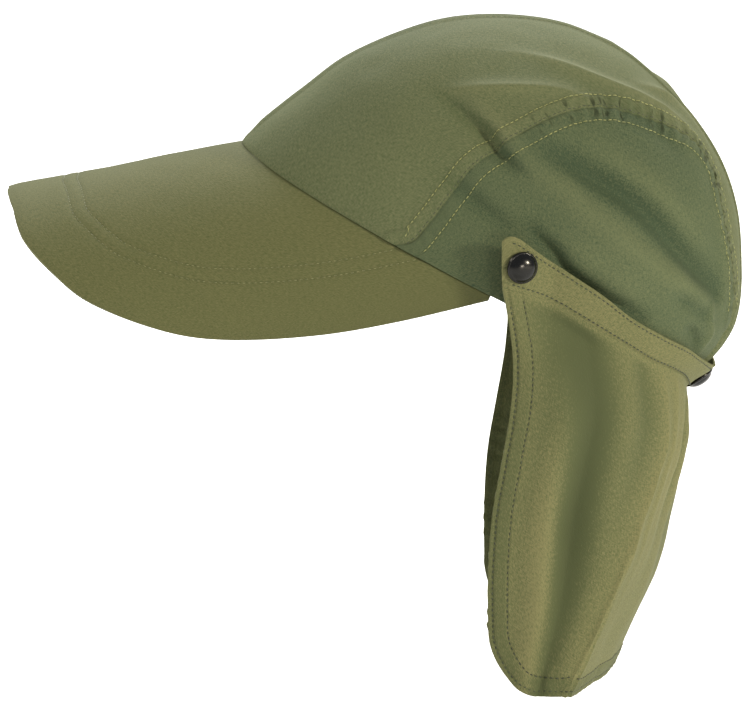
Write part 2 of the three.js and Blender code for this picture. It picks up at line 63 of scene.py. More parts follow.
def smoothstep(value: Array, low: float, high: float) -> Array:
    """Ease from 0 at low to 1 at high.

    Args:
        value: Places to ease.
        low: Place where the ease starts.
        high: Place where it ends.

    Returns:
        The eased shares, from 0 to 1.
    """
    share = np.clip((value - low) / (high - low), 0.0, 1.0)
    return share * share * (3.0 - 2.0 * share)


def lerp(first: Array, last: Array, share: Array) -> Array:
    """Blend from first to last by a share."""
    return first + (last - first) * share


def bell(distance: Array, width: float) -> Array:
    """Bell of height 1 that fades over a width."""
    return np.exp(-((distance / width) ** 2))


def unit(vectors: Array) -> Array:
    """Vectors along the last axis, brought to length 1."""
    return vectors / np.maximum(np.linalg.norm(vectors, axis=-1, keepdims=True), TINY)


def dot(first: Array, second: Array) -> Array:
    """Dot product of each two rows."""
    return np.einsum("ij,ij->i", first, second)


def facing(normals: Array, away: Array) -> Array:
    """Normals turned to the side of a direction given for each of them."""
    return normals * np.where(dot(normals, away) < 0, -1.0, 1.0)[:, None]


def interpolate(places: Array, stations: Array, rows: Array) -> Array:
    """Rows of a table at places between their stations."""
    return np.stack([np.interp(places, stations, column) for column in rows.T], axis=-1)


def hermite(start: Array, end: Array, leave: Array, arrive: Array, part: Array) -> Array:
    """Cubic curve from start to end.

    Args:
        start: Where it starts.
        end: Where it ends.
        leave: Slope at its start.
        arrive: Slope at its end.
        part: Shares of the way, from 0 to 1.

    Returns:
        Places at those shares.
    """
    squared = part * part
    cubed = squared * part
    return ((2 * cubed - 3 * squared + 1) * start + (3 * squared - 2 * cubed) * end
            + (cubed - 2 * squared + part) * leave + (cubed - squared) * arrive)


def fold_shape(ratio: Array, crisp: float) -> Array:
    """Cross-section of a fold: a round bell, or a sharp ridge where crisp is 1.

    Args:
        ratio: Distances from the fold's line, in widths of the fold.
        crisp: How sharp the fold is, from 0 to 1.

    Returns:
        Shares of the fold's height.
    """
    fall, tip = 1.35, 0.02
    ridge = np.exp(-fall * (np.sqrt(ratio**2 + tip) - math.sqrt(tip)))
    return lerp(bell(ratio, 1.0), ridge, crisp)


def groove(distance: Array, size: tuple[float, float]) -> Array:
    """Push of a groove along a distance of zero, from its depth and its width."""
    return -size[0] * bell(distance, size[1])


def normals_of(surface: Surface, first: Array, second: Array, step: float) -> Array:
    """Unit normals of a surface of two numbers, by small steps.

    Args:
        surface: Surface to measure.
        first: First numbers.
        second: Second numbers.
        step: Size of the small step.

    Returns:
        One unit normal for each place.
    """
    along_first = surface(first + step, second) - surface(first - step, second)
    along_second = surface(first, second + step) - surface(first, second - step)
    return unit(np.cross(along_first, along_second))


def unevenness(points: Array, size: float, seed: float) -> Array:
    """Smooth unevenness at points.

    Args:
        points: Points, in metres.
        size: Length of one swell, in metres.
        seed: Offset that picks another pattern.

    Returns:
        One value from about -1 to 1 for each point.
    """
    flat = points.reshape(-1, 3) / size + seed
    values = np.fromiter((noise.noise(Vector(place)) for place in flat), float, len(flat))
    return values.reshape(points.shape[:-1]) * 2.0


def swelling(points: Array, swells: Sequence[Point]) -> Array:
    """Soft swells at points, each from its height, its length and its seed."""
    return sum(height * unevenness(points, length, seed) for height, length, seed in swells)


class SmoothTable:
    """Smooth curve through the rows of a table, keyed by the first column."""

    def __init__(self, rows: Sequence[Sequence[float]]) -> None:
        """Keep the rows and the slope at each of them.

        Args:
            rows: Rows of a key and its values, in the order of the keys.
        """
        table = np.array(rows, float)
        self.keys = table[:, 0]
        self.values = table[:, 1:]
        secants = np.diff(self.values, axis=0) / np.diff(self.keys)[:, None]
        inner = (secants[1:] + secants[:-1]) / 2.0
        self.slopes = np.vstack([secants[:1], inner, secants[-1:]])

    def at(self, place: Array) -> Array:
        """Values at places, one row of values for each.

        Args:
            place: Keys to look up, held within the table.

        Returns:
            The values, along a new last axis.
        """
        held = np.clip(place, self.keys[0], self.keys[-1])
        row = np.clip(np.searchsorted(self.keys, held, side="right") - 1, 0, len(self.keys) - 2)
        span = (self.keys[row + 1] - self.keys[row])[..., None]
        part = (held - self.keys[row])[..., None] / span
        leave, arrive = span * self.slopes[row], span * self.slopes[row + 1]
        return hermite(self.values[row], self.values[row + 1], leave, arrive, part)


class Route:
    """A line through points in space, which knows how near other points lie."""

    def __init__(self, points: Array) -> None:
        """Keep the points and the lengths between them.

        Args:
            points: Points of the line, in order.
        """
        self.points = np.asarray(points, float)
        self.spans = np.diff(self.points, axis=0)
        self.lengths = np.linalg.norm(self.spans, axis=1)
        self.travel = np.concatenate([[0.0], np.cumsum(self.lengths)])

    @property
    def length(self) -> float:
        """Length of the whole line."""
        return float(self.travel[-1])

    def nearest(self, points: Array) -> tuple[Array, Array, Array, Array]:
        """Nearest place on the line for each point.

        Args:
            points: Points to measure, one a row.

        Returns:
            Distances, lengths travelled along the line, offsets from the line and
            directions of the line there.
        """
        best = np.full(len(points), np.inf)
        travelled = np.zeros(len(points))
        offsets = np.zeros((len(points), 3))
        ways = np.zeros((len(points), 3))
        for start, span, length, before in zip(self.points, self.spans, self.lengths, self.travel):
            away = points - start
            share = np.clip(away @ span / max(length * length, TINY), 0.0, 1.0)
            offset = away - share[:, None] * span
            distance = np.linalg.norm(offset, axis=1)
            nearer = distance < best
            best[nearer] = distance[nearer]
            travelled[nearer] = before + share[nearer] * length
            offsets[nearer] = offset[nearer]
            ways[nearer] = span / max(length, TINY)
        return best, travelled, offsets, ways

    def at(self, travelled: Array) -> Array:
        """Points at lengths travelled along the line."""
        return interpolate(travelled, self.travel, self.points)


@dataclass(frozen=True)
class HeadRim:
    """The oval head opening: two half ellipses in a plane that leans back."""

    front_reach: float = 117 * MM
    rear_reach: float = 94.2 * MM
    half_width: float = 79 * MM
    lean: float = math.radians(27.1)

    @property
    def half_length(self) -> float:
        """Half of the opening's length."""
        return (self.front_reach + self.rear_reach) / 2

    @property
    def widest_back(self) -> float:
        """How far behind the middle of its length the oval is widest."""
        return (self.front_reach - self.rear_reach) / 2

    @property
    def up(self) -> Array:
        """Direction square to the rim's plane."""
        return np.array([0.0, math.sin(self.lean), math.cos(self.lean)])

    def point(self, across: Array, back: Array, up: Array) -> Array:
        """Points given across, back along the rim's plane and up from it.

        Args:
            across: Distances to the wearer's left.
            back: Distances back along the plane.
            up: Distances square to the plane.

        Returns:
            Points in the cap's frame.
        """
        cosine, sine = math.cos(self.lean), math.sin(self.lean)
        across, back, up = np.broadcast_arrays(across, back, up)
        return np.stack([across, back * cosine + up * sine, up * cosine - back * sine], axis=-1)


@dataclass(frozen=True)
class Fold:
    """A fold of the crown, seen from its left side.

    route holds the points (along, up, push): along is a share of the opening's half
    length, up a share of the crown's height and push the height in millimetres, under
    zero for a valley. above and below are its widths in millimetres, and crisp is 0
    for a round fold and 1 for a sharp one.
    """

    route: tuple[tuple[float, float, float], ...]
    above: float
    below: float
    crisp: float = 0.3


# Levels of the crown: rise up the wall, height, and the front, side and rear reach.
CROWN_LEVELS = (
    (-0.05, -0.075, 0.99, 0.985, 0.95),
    (0.0, 0.0, 1.0, 1.0, 0.985),
    (0.04, 0.06, 0.984, 1.01, 1.025),
    (0.13, 0.2, 0.93, 1.02, 1.055),
    (0.2, 0.3, 0.887, 1.015, 1.041),
    (0.32, 0.47, 0.812, 0.975, 0.952),
    (0.45, 0.65, 0.685, 0.88, 0.824),
    (0.6, 0.8, 0.54, 0.72, 0.643),
    (0.745, 0.91, 0.365, 0.5, 0.408),
    (0.885, 0.98, 0.18, 0.25, 0.154),
    (1.0, 1.0, 0.0, 0.0, 0.0),
)

# Side seam from the temple to the back band: angle from the front, rise up the wall.
SEAM_POINTS = (
    (67, 0.0), (69.6, 0.03), (70.2, 0.1), (70.2, 0.19), (70.6, 0.27), (73, 0.355),
    (76, 0.42), (79.8, 0.49), (84.5, 0.55), (91, 0.6), (99, 0.635), (110, 0.657),
    (122, 0.665), (134, 0.66), (145, 0.645), (152, 0.614), (156, 0.565), (156, 0.51),
    (155.5, 0.45), (158, 0.38), (162, 0.3), (164.3, 0.235), (165, 0.185),
)

# Folds of the top panels, then of the side panels.
CROWN_FOLDS = (
    Fold(((-0.24, 0.84, 0.6), (-0.05, 0.88, 1.9), (0.08, 0.89, 2.2), (0.21, 0.9, 2.2),
          (0.34, 0.9, 2.0), (0.53, 0.86, 0.6)), 4.0, 8.0, 0.8),
    Fold(((0.12, 0.84, -0.3), (0.25, 0.845, -1.0), (0.42, 0.83, -1.0), (0.55, 0.77, -0.3)), 5.0, 7.0, 0.1),
    Fold(((-0.4, 0.62, 0.6), (-0.27, 0.69, 1.8), (-0.16, 0.745, 2.2), (-0.05, 0.79, 2.0), (0.06, 0.815, 1.2),
          (0.14, 0.82, 0.3)), 5.0, 5.0, 0.85),
    Fold(((0.26, 0.94, 0.5), (0.42, 0.925, 1.7), (0.53, 0.885, 1.6), (0.62, 0.83, 0.5)), 4.0, 6.0, 0.8),
    Fold(((-0.44, 0.58, -0.4), (-0.32, 0.57, -1.6), (-0.21, 0.55, -2.6), (-0.13, 0.505, -4.2),
          (-0.065, 0.488, -3.6), (-0.02, 0.48, -0.8)), 2.6, 4.4, 0.65),
    Fold(((-0.36, 0.64, 0.2), (-0.22, 0.6, 1.0), (-0.1, 0.56, 1.4), (-0.02, 0.53, 0.6)), 4.5, 4.0, 0.3),
    Fold(((-0.02, 0.6, -0.6), (0.1, 0.6, -2.7), (0.2, 0.59, -3.6), (0.37, 0.575, -3.9), (0.53, 0.535, -4.0),
          (0.66, 0.48, -3.9), (0.78, 0.425, -3.8), (0.9, 0.37, -2.0)), 7.5, 5.2, 0.3),
    Fold(((-0.04, 0.5, 0.4), (0.06, 0.5, 1.8), (0.16, 0.49, 2.5), (0.26, 0.455, 2.5), (0.46, 0.41, 2.2),
          (0.66, 0.365, 2.0), (0.86, 0.31, 1.2)), 5.5, 9.0, 0.45),
    Fold(((0.12, 0.68, 0.2), (0.3, 0.67, 1.1), (0.48, 0.63, 1.5), (0.62, 0.57, 1.4), (0.72, 0.52, 0.5)),
         9.0, 7.0, 0.3),
    Fold(((-0.32, 0.31, -0.2), (-0.24, 0.32, -1.3), (-0.14, 0.295, -2.0), (-0.02, 0.275, -1.5),
          (0.06, 0.27, -0.3)), 4.0, 5.0, 0.35),
    Fold(((0.08, 0.32, -0.5), (0.15, 0.285, -3.0), (0.24, 0.255, -3.6), (0.31, 0.215, -3.2),
          (0.46, 0.185, -2.4), (0.66, 0.165, -1.0)), 3.4, 4.6, 0.5),
    Fold(((0.2, 0.345, 0.2), (0.34, 0.31, 1.3), (0.52, 0.27, 1.2), (0.7, 0.24, 0.3)), 7.0, 6.0, 0.2),
    Fold(((0.7, 0.31, -0.2), (0.8, 0.295, -1.8), (0.9, 0.265, -1.9), (0.95, 0.24, -0.4)), 3.5, 4.5, 0.4),
    Fold(((0.84, 0.2, -0.2), (0.89, 0.18, -1.7), (0.93, 0.14, -1.7), (0.94, 0.1, -0.3)), 3.0, 3.5, 0.4),
    Fold(((0.9, 0.33, 0.2), (0.935, 0.25, 1.1), (0.96, 0.2, 1.2), (0.955, 0.12, 0.3)), 2.5, 2.5, 0.6),
    Fold(((0.72, 0.66, 0.2), (0.83, 0.55, 1.0), (0.9, 0.45, 1.1), (0.95, 0.34, 0.4)), 4.0, 5.0, 0.4),
)


def catmull_rom(points: Array, steps: int) -> Array:
    """Centripetal curve through points.

    Args:
        points: Points to pass through, one a row.
        steps: Steps between each two of them.

    Returns:
        The points of the curve.
    """
    ends = np.vstack([2 * points[:1] - points[1:2], points, 2 * points[-1:] - points[-2:-1]])
    part = np.arange(steps)[:, None] / steps
    found = []
    for first, start, end, last in zip(ends, ends[1:], ends[2:], ends[3:]):
        gaps = (start - first, end - start, last - end)
        before, within, after = (math.sqrt(np.linalg.norm(gap)) for gap in gaps)
        leave = (start - first) / before - (end - first) / (before + within) + (end - start) / within
        arrive = (end - start) / within - (last - start) / (within + after) + (last - end) / after
        found.append(hermite(start, end, leave * within, arrive * within, part))
    return np.vstack([*found, points[-1:]])


class CrownForm:
    """Shape of the crown: a disc pulled over levels, with its folds and seams.

    A place on it is a point of the unit disc: right is across, ahead is to the front,
    the rim is the unit circle and the top its centre. Grooves are pairs of depth and
    width, swells rows of height, length and seed. The seams' gap is under zero: the
    panels overlap by a hair, so that no light comes through.
    """

    height = 106 * MM
    seam_gap = -0.06 * MM
    back_band_angle = 165.0
    disc_step = 0.003
    seam_steps = 16
    fold_steps = 5
    seam_step = 0.004
    seam_probe = 0.01
    seam_part = 34 / 38
    side_corner = 2.0
    ridge_height = 0.9 * MM
    ridge_width = 3 * MM
    seam_band = 6.0 * MM
    seam_raise = 0.55 * MM
    seam_raise_fade = 1.6 * MM
    seam_groove = (0.5 * MM, 0.8 * MM)
    row_groove = (0.22 * MM, 0.9 * MM)
    middle_groove = (0.8 * MM, 0.7 * MM)
    pucker_pitch = 6.4 * MM
    pucker_from_seam = 2.6 * MM
    pucker_reach = 4.2 * MM
    fold_strength = 1.3
    crease_width = 2.2
    crease_share = 0.8
    swells = ((0.5 * MM, 34 * MM, 1.3), (0.16 * MM, 12 * MM, 5.2))
    other_side = 40.0
    gathers = 9
    gather_depth = 0.85 * MM

    def __init__(self, rim: HeadRim) -> None:
        """Lay out the side seam and the folds.

        Args:
            rim: The head opening that the crown stands on.
        """
        self.rim = rim
        self.levels = SmoothTable(CROWN_LEVELS)
        self.rise_at = SmoothTable([(row[1], row[0]) for row in CROWN_LEVELS])
        angle, rise = np.array(SEAM_POINTS, float).T
        self.seam_disc = catmull_rom(self.place(angle, rise), self.seam_steps)
        steps = np.linalg.norm(np.diff(self.seam_disc, axis=0), axis=1)
        self.seam_travel = np.concatenate([[0.0], np.cumsum(steps)]) / steps.sum()
        self.seam = Route(self.smooth(*self.seam_disc.T))
        end_angle, end_rise = SEAM_POINTS[-1]
        self.band_seam = Route(self.smooth(*self.place(np.linspace(end_angle, 180, 12), end_rise).T))
        self.folds = [(fold, self.fold_route(fold)) for fold in CROWN_FOLDS]

    @staticmethod
    def place(angle: Array, rise: Array) -> Array:
        """Disc places at angles from the front, in degrees, and rises of the wall."""
        turn = np.radians(angle)
        return np.stack([(1 - rise) * np.sin(turn), (1 - rise) * np.cos(turn)], axis=-1)

    def bare(self, right: Array, ahead: Array) -> tuple[Array, Array, Array]:
        """Across, back and up of places on the plain crown.

        Args:
            right: Disc places across.
            ahead: Disc places ahead.

        Returns:
            Distances across, back and up in the rim's frame.
        """
        radius = np.hypot(right, ahead)
        level = self.levels.at(1 - radius)
        safe = np.maximum(radius, 1e-9)
        front = self.rim.front_reach * level[..., 1]
        rear = self.rim.rear_reach * level[..., 3]
        reach = np.where(ahead > 0, front, rear)
        across = self.rim.half_width * level[..., 2] * right / safe
        return across, self.rim.widest_back - reach * ahead / safe, self.height * level[..., 0]

    def smooth(self, right: Array, ahead: Array) -> Array:
        """Points of the plain crown."""
        return self.rim.point(*self.bare(right, ahead))

    def outward(self, right: Array, ahead: Array) -> Array:
        """Outward directions of the plain crown."""
        return -normals_of(self.smooth, right, ahead, self.disc_step)

    def seen_from_side(self, along: Array, up: Array) -> Array:
        """Disc places on the left that are seen at a side-view place.

        Args:
            along: Shares of the opening's half length, back from its middle.
            up: Shares of the crown's height.

        Returns:
            Disc places.
        """
        rise = self.rise_at.at(up)[..., 0]
        level = self.levels.at(rise)
        back = along * self.rim.half_length - self.rim.widest_back
        reach = np.where(back < 0, self.rim.front_reach * level[..., 1], self.rim.rear_reach * level[..., 3])
        cosine = np.clip(-back / np.maximum(reach, 1e-6), -0.999, 0.999)
        return np.stack([(1 - rise) * np.sqrt(1 - cosine**2), (1 - rise) * cosine], axis=-1)

    def fold_route(self, fold: Fold) -> Route:
        """Line of a fold on the plain crown."""
        along, up, _ = np.array(fold.route).T
        places = catmull_rom(self.seen_from_side(along, up), self.fold_steps)
        return Route(self.smooth(*places.T))

    @staticmethod
    def push_along(fold: Fold, route: Route, travelled: Array) -> Array:
        """Height of a fold at lengths along its line."""
        pushes = np.array([row[2] for row in fold.route]) * MM
        return np.interp(travelled, np.linspace(0.0, route.length, len(pushes)), pushes)

    def fold_push(self, points: Array, outward: Array) -> Array:
        """Push of all folds at points of the left half.

        Args:
            points: Points of the plain crown.
            outward: Outward directions there.

        Returns:
            Distances outwards.
        """
        total = np.zeros(len(points))
        for fold, route in self.folds:
            distance, travelled, offset, way = route.nearest(points)
            is_above = dot(np.cross(outward, way), offset) > 0
            width = np.where(is_above, fold.above, fold.below) * MM
            push = self.push_along(fold, route, travelled)
            total += self.fold_strength * push * fold_shape(distance / width, fold.crisp)
        return total

    def fold_depth(self, points: Array) -> Array:
        """How high the nearest folds are at points of the left half, whichever their side.

        Args:
            points: Points of the crown.

        Returns:
            Heights in metres, under zero in a valley.
        """
        total = np.zeros(len(points))
        for fold, route in self.folds:
            distance, travelled, _, _ = route.nearest(points)
            crease = fold.crisp * self.crease_share
            width = lerp((fold.above + fold.below) / 2, self.crease_width, crease) * MM
            total += self.push_along(fold, route, travelled) * bell(distance, width)
        return total

    def seam_push(self, points: Array) -> Array:
        """Raised band, grooves and puckers along the side seam.

        Args:
            points: Points of the left half.

        Returns:
            Distances outwards.
        """
        distance, travelled, _, _ = self.seam.nearest(points)
        past_band = smoothstep(distance, self.seam_band, self.seam_band + self.seam_raise_fade)
        raised = self.seam_raise * (1 - past_band)
        grooves = groove(distance, self.seam_groove) + groove(distance - self.seam_band, self.row_groove)
        phase = 2 * math.pi * travelled / self.pucker_pitch + 3.4 * unevenness(points, 21 * MM, 3.7)
        strength = (0.12 + 0.36 * self.pucker_strength(travelled / self.seam.length)) * MM
        strength = strength * bell(distance - self.pucker_from_seam, self.pucker_reach)
        strength = strength * (0.7 + 0.6 * unevenness(points, 13 * MM, 9.1))
        return raised + grooves + strength * (np.cos(phase) - 0.4)

    @staticmethod
    def pucker_strength(share: Array) -> Array:
        """How strongly the seam is drawn in at a share of its length: most behind its top."""
        return smoothstep(share, 0.26, 0.42) * (1 - 0.3 * smoothstep(share, 0.8, 0.95)) + 0.12

    def relief(self, right: Array, ahead: Array) -> Array:
        """Outward push of everything that shapes the plain crown.

        Args:
            right: Disc places across, on either half.
            ahead: Disc places ahead.

        Returns:
            Distances outwards.
        """
        shape = np.broadcast(right, ahead).shape
        right, ahead = (np.broadcast_to(value, shape).ravel() for value in (right, ahead))
        left = np.abs(right)
        across, _, up = self.bare(left, ahead)
        points = self.smooth(left, ahead)
        own_points = points + np.where(right >= 0, 0.0, self.other_side)[:, None]
        soft = self.fold_push(points, self.outward(left, ahead)) + swelling(own_points, self.swells)
        from_middle = smoothstep(np.abs(across), 0.0, self.rim.half_width / 5)
        on_top = smoothstep(up, self.height * 0.02, self.height * 0.12)
        beside_ridge = smoothstep(across, self.ridge_width * 0.7, self.ridge_width * 1.5)
        ridge = self.ridge_height * on_top * (1 - beside_ridge)
        seams = self.seam_push(points) + ridge + groove(across, self.middle_groove)
        return (soft * from_middle + seams + self.gathering(left, ahead, up)).reshape(shape)

    def gathering(self, left: Array, ahead: Array, up: Array) -> Array:
        """Gathers of the back band and of the cloth just above it.

        Args:
            left: Disc places across, all on the left half.
            ahead: Disc places ahead.
            up: Heights over the rim's plane.

        Returns:
            Distances outwards.
        """
        angle = np.arctan2(left, ahead)
        turn = (math.pi - angle) / (math.pi - math.radians(self.back_band_angle))
        inside = 1 - smoothstep(turn, 0.86, 1.02)
        low = 1 - smoothstep(up, self.height * 0.2, self.height * 0.42)
        wave = np.cos(turn * self.gathers * math.pi) + 0.35 * np.cos(turn * self.gathers * 2.3 + 1.0)
        return inside * low * self.gather_depth * wave

    def surface(self, right: Array, ahead: Array) -> Array:
        """Points of the finished crown."""
        push = self.relief(right, ahead)[..., None]
        return self.smooth(right, ahead) + self.outward(right, ahead) * push

    def seam_at(self, share: Array) -> Array:
        """Disc places on the seam at shares of its length."""
        return interpolate(np.clip(share, 0.0, 1.0), self.seam_travel, self.seam_disc)

    def seam_edge(self, share: Array, shift: float) -> Array:
        """Disc places beside the seam.

        Args:
            share: Shares of the seam's length on the disc.
            shift: Distance square to the seam, over zero towards the top panel.

        Returns:
            Disc places.
        """
        held = np.clip(share, 0.0, 1.0)
        point = self.seam_at(held)
        tangent = unit(self.seam_at(held + self.seam_step) - self.seam_at(held - self.seam_step))
        square = np.stack([tangent[..., 1], -tangent[..., 0]], axis=-1)
        probed = point + square * self.seam_probe
        here, there = (self.smooth(disc[..., 0], disc[..., 1]) for disc in (point, probed))
        scale = np.linalg.norm(there - here, axis=-1, keepdims=True) / self.seam_probe
        to_middle = np.where(square[..., :1] * point[..., :1] > 0, -1.0, 1.0)
        moved = point + square * to_middle * shift / scale
        return moved / np.maximum(np.linalg.norm(moved, axis=-1, keepdims=True), 1.0)

    def top_place(self, along: Array, across: Array) -> tuple[Array, Array]:
        """Disc places of the left top panel.

        Args:
            along: Shares from the front to the back.
            across: Shares from the middle seam to the side seam.

        Returns:
            Disc places across and ahead.
        """
        start_angle, end_angle = SEAM_POINTS[0][0], SEAM_POINTS[-1][0]
        back_rise = SEAM_POINTS[-1][1] + self.seam_gap / self.height
        along, across = np.broadcast_arrays(along, across)
        share, turn = along[..., None], across[..., None]
        front, rear = self.place(0.0, 0.0), self.place(180.0, back_rise)
        front_end, rear_end = self.place(start_angle, 0.0), self.place(end_angle, back_rise)
        front_edge = self.place(start_angle * across, np.zeros_like(across))
        rear_edge = self.place(lerp(180.0, end_angle, across), np.full_like(across, back_rise))
        side = self.seam_edge(along, self.seam_gap / 2)
        corners = lerp(lerp(front, front_end, turn), lerp(rear, rear_end, turn), share)
        place = lerp(lerp(front, rear, share), side, turn) + lerp(front_edge, rear_edge, share) - corners
        limit = self.seam_gap / 2 / self.rim.half_width
        return np.maximum(place[..., 0], limit), place[..., 1]

    def side_place(self, along: Array, across: Array) -> tuple[Array, Array]:
        """Disc places of the left side panel.

        Args:
            along: Shares from the temple to the back band.
            across: Shares from the rim up to the seam.

        Returns:
            Disc places across and ahead.
        """
        along, across = np.broadcast_arrays(along, across)
        front_angle = SEAM_POINTS[0][0] + self.side_corner
        rim_angle = lerp(front_angle, self.back_band_angle - self.side_corner, along)
        down = np.maximum(along - self.seam_part, 0) / (1 - self.seam_part)
        gap_angle = math.degrees(self.seam_gap / self.rim.rear_reach)
        rear_angle = np.full_like(along, self.back_band_angle - gap_angle)
        rear_edge = self.place(rear_angle, SEAM_POINTS[-1][1] * (1 - down))
        top_edge = self.seam_edge(along / self.seam_part, -self.seam_gap / 2)
        to = np.where((along < self.seam_part)[..., None], top_edge, rear_edge)
        place = lerp(self.place(rim_angle, np.zeros_like(along)), to, across[..., None])
        return place[..., 0], place[..., 1]

    def band_place(self, along: Array, across: Array) -> tuple[Array, Array]:
        """Disc places of the back band, from its left end round to its right end."""
        gap_angle = math.degrees(self.seam_gap / 2 / self.rim.rear_reach)
        angle = lerp(self.back_band_angle + gap_angle, 360 - self.back_band_angle - gap_angle, along)
        rise = lerp(CROWN_LEVELS[0][0], SEAM_POINTS[-1][1] - self.seam_gap / self.height, across)
        place = self.place(angle, rise)
        return place[..., 0], place[..., 1]


# Rows of the peak: share from the middle, angle on the rim, angle at the edge, reach.
PEAK_ROWS = (
    (0.0, 0, 0, 1.0),
    (0.1, 9, 19, 1.036),
    (0.2, 18, 37, 1.143),
    (0.3, 27, 52, 1.219),
    (0.42, 38, 66, 1.271),
    (0.56, 52, 81, 1.199),
    (0.66, 62, 87, 1.055),
    (0.78, 73, 91, 0.746),
    (0.88, 81, 91.5, 0.442),
    (1.0, 89, 90.2, 0.03),
)


class PeakForm:
    """Shape of the peak: the front of the rim carried forward and down.

    Its rear edge is tucked in and up under the crown, over a part of its length.
    """

    length = 98.8 * MM
    droop = math.radians(11)
    wall = 3 * MM
    seam_gap = 0.5 * MM
    tuck = 3.2 * MM
    tuck_part = 0.04
    row_from_edge = (23.5 * MM, 29.5 * MM)
    row_groove = (0.3 * MM, 1.0 * MM)
    row_reach = 6 * MM
    pucker_pitch = 7.2 * MM
    pucker_height = 0.06 * MM
    swells = ((0.32 * MM, 42 * MM, 2.1), (0.07 * MM, 11 * MM, 6.4))
    lip = 0.35 * MM
    lip_width = 4 * MM
    calm_edge = 10 * MM
    inside = (0.002, 0.998)
    step = 1e-3

    def __init__(self, rim: HeadRim) -> None:
        """Keep the rim and the table of rows.

        Args:
            rim: The head opening that the peak hangs on.
        """
        self.rim = rim
        self.rows = SmoothTable(PEAK_ROWS)
        self.edge = Route(self.plain(np.linspace(0.0, 1.0, 161), np.ones(161)))

    def plain(self, along: Array, across: Array) -> Array:
        """Points of the peak's smooth upper face.

        Args:
            along: Shares from the right temple to the left one.
            across: Shares from the seam to the outer edge.

        Returns:
            Points.
        """
        side = 2 * along - 1
        row = self.rows.at(np.abs(side))
        angle = np.radians(np.sign(side) * lerp(row[..., 0], row[..., 1], across))
        back = self.rim.widest_back - self.rim.front_reach * np.cos(angle)
        on_rim = self.rim.point(self.rim.half_width * np.sin(angle), back, -self.seam_gap)
        forward = np.array([0.0, -math.cos(self.droop), -math.sin(self.droop)])
        return on_rim + forward * (row[..., 2] * self.length * across)[..., None]

    def surface(self, along: Array, across: Array) -> Array:
        """Points of the finished upper face, with its sewn rows and soft swells.

        Args:
            along: Shares from the right temple to the left one.
            across: Shares from the seam to the outer edge, under zero in the tuck.

        Returns:
            Points.
        """
        along, across = np.broadcast_arrays(along, across)
        tucked = np.clip(-across, 0.0, None)[..., None] / self.tuck_part * self.tuck
        plain = self.plain(along, np.maximum(across, 0.0))
        inwards = unit(np.array([0.0, 0.0, -20 * MM]) - plain) * FLAT_PLAN
        plain = (plain + tucked * (inwards + self.rim.up)).reshape(-1, 3)
        held = np.clip(along, *self.inside), np.clip(across, *self.inside)
        normal = normals_of(self.plain, *held, self.step).reshape(-1, 3)
        from_hollow = (plain + np.array([0.0, 0.0, 50 * MM])) * np.array([1.0, 0.0, 1.0])
        normal = facing(normal, from_hollow)
        distance, travelled, _, _ = self.edge.nearest(plain)
        phase = 2 * math.pi * travelled / self.pucker_pitch + 3 * unevenness(plain, 25 * MM, 4.4)
        near_rows = bell(distance - sum(self.row_from_edge) / 2, self.row_reach)
        soft = swelling(plain, self.swells) + self.pucker_height * np.cos(phase) * near_rows
        grooves = sum(groove(distance - row, self.row_groove) for row in self.row_from_edge)
        lip = self.lip * (smoothstep(distance, 0.0, self.lip_width) - 1)
        push = soft * smoothstep(distance, 0.0, self.calm_edge) + grooves + lip
        return (plain + normal * push[:, None]).reshape(*along.shape, 3)


# Top band of the flap: share from the rear middle, angle and height of its top edge,
# angle and height of its lower edge.
BAND_ROWS = (
    (0.0, 180, 0.072, 180, -0.06),
    (0.12, 168, 0.08, 168, -0.03),
    (0.235, 156, 0.1, 157, 0.012),
    (0.34, 146, 0.124, 147, 0.03),
    (0.465, 134, 0.14, 136, 0.037),
    (0.59, 122.5, 0.16, 126, 0.055),
    (0.705, 112.5, 0.195, 116.5, 0.07),
    (0.805, 104, 0.215, 107.5, 0.085),
    (0.895, 96.5, 0.232, 100, 0.09),
    (1.0, 85.5, 0.268, 89.8, 0.075),
)

# Plan of the hanging flap: drop, rear Y, corner X and Y, side X and Y, front X and Y.
FLAP_LEVELS = (
    (-0.1, 0.93, 0.7, 0.76, 1.12, 0.5, 1.05, 0.13),
    (0.1, 0.91, 0.6, 0.8, 1.12, 0.56, 1.06, 0.17),
    (0.29, 0.876, 0.557, 0.81, 1.12, 0.57, 1.055, 0.157),
    (0.436, 0.871, 0.633, 0.758, 1.09, 0.5, 1.045, 0.118),
    (0.552, 0.838, 0.722, 0.696, 1.07, 0.44, 1.03, 0.086),
    (0.669, 0.791, 0.785, 0.634, 1.05, 0.4, 1.015, 0.072),
    (0.785, 0.734, 0.854, 0.559, 1.03, 0.36, 0.995, 0.07),
    (0.884, 0.668, 0.911, 0.488, 1.0, 0.3, 0.975, 0.075),
    (1.0, 0.587, 0.949, 0.388, 0.97, 0.24, 0.955, 0.09),
)


@dataclass(frozen=True)
class FlapFold:
    """A fold that runs down the flap.

    top and low are shares of the flap's half length where it starts and ends, down is
    the share of the way down where it is deepest, spread how far it fades each way,
    width is a share of the half length, and push is in millimetres.
    """

    top: float
    low: float
    down: float
    spread: float
    width: float
    push: float
    crisp: float = 0.2


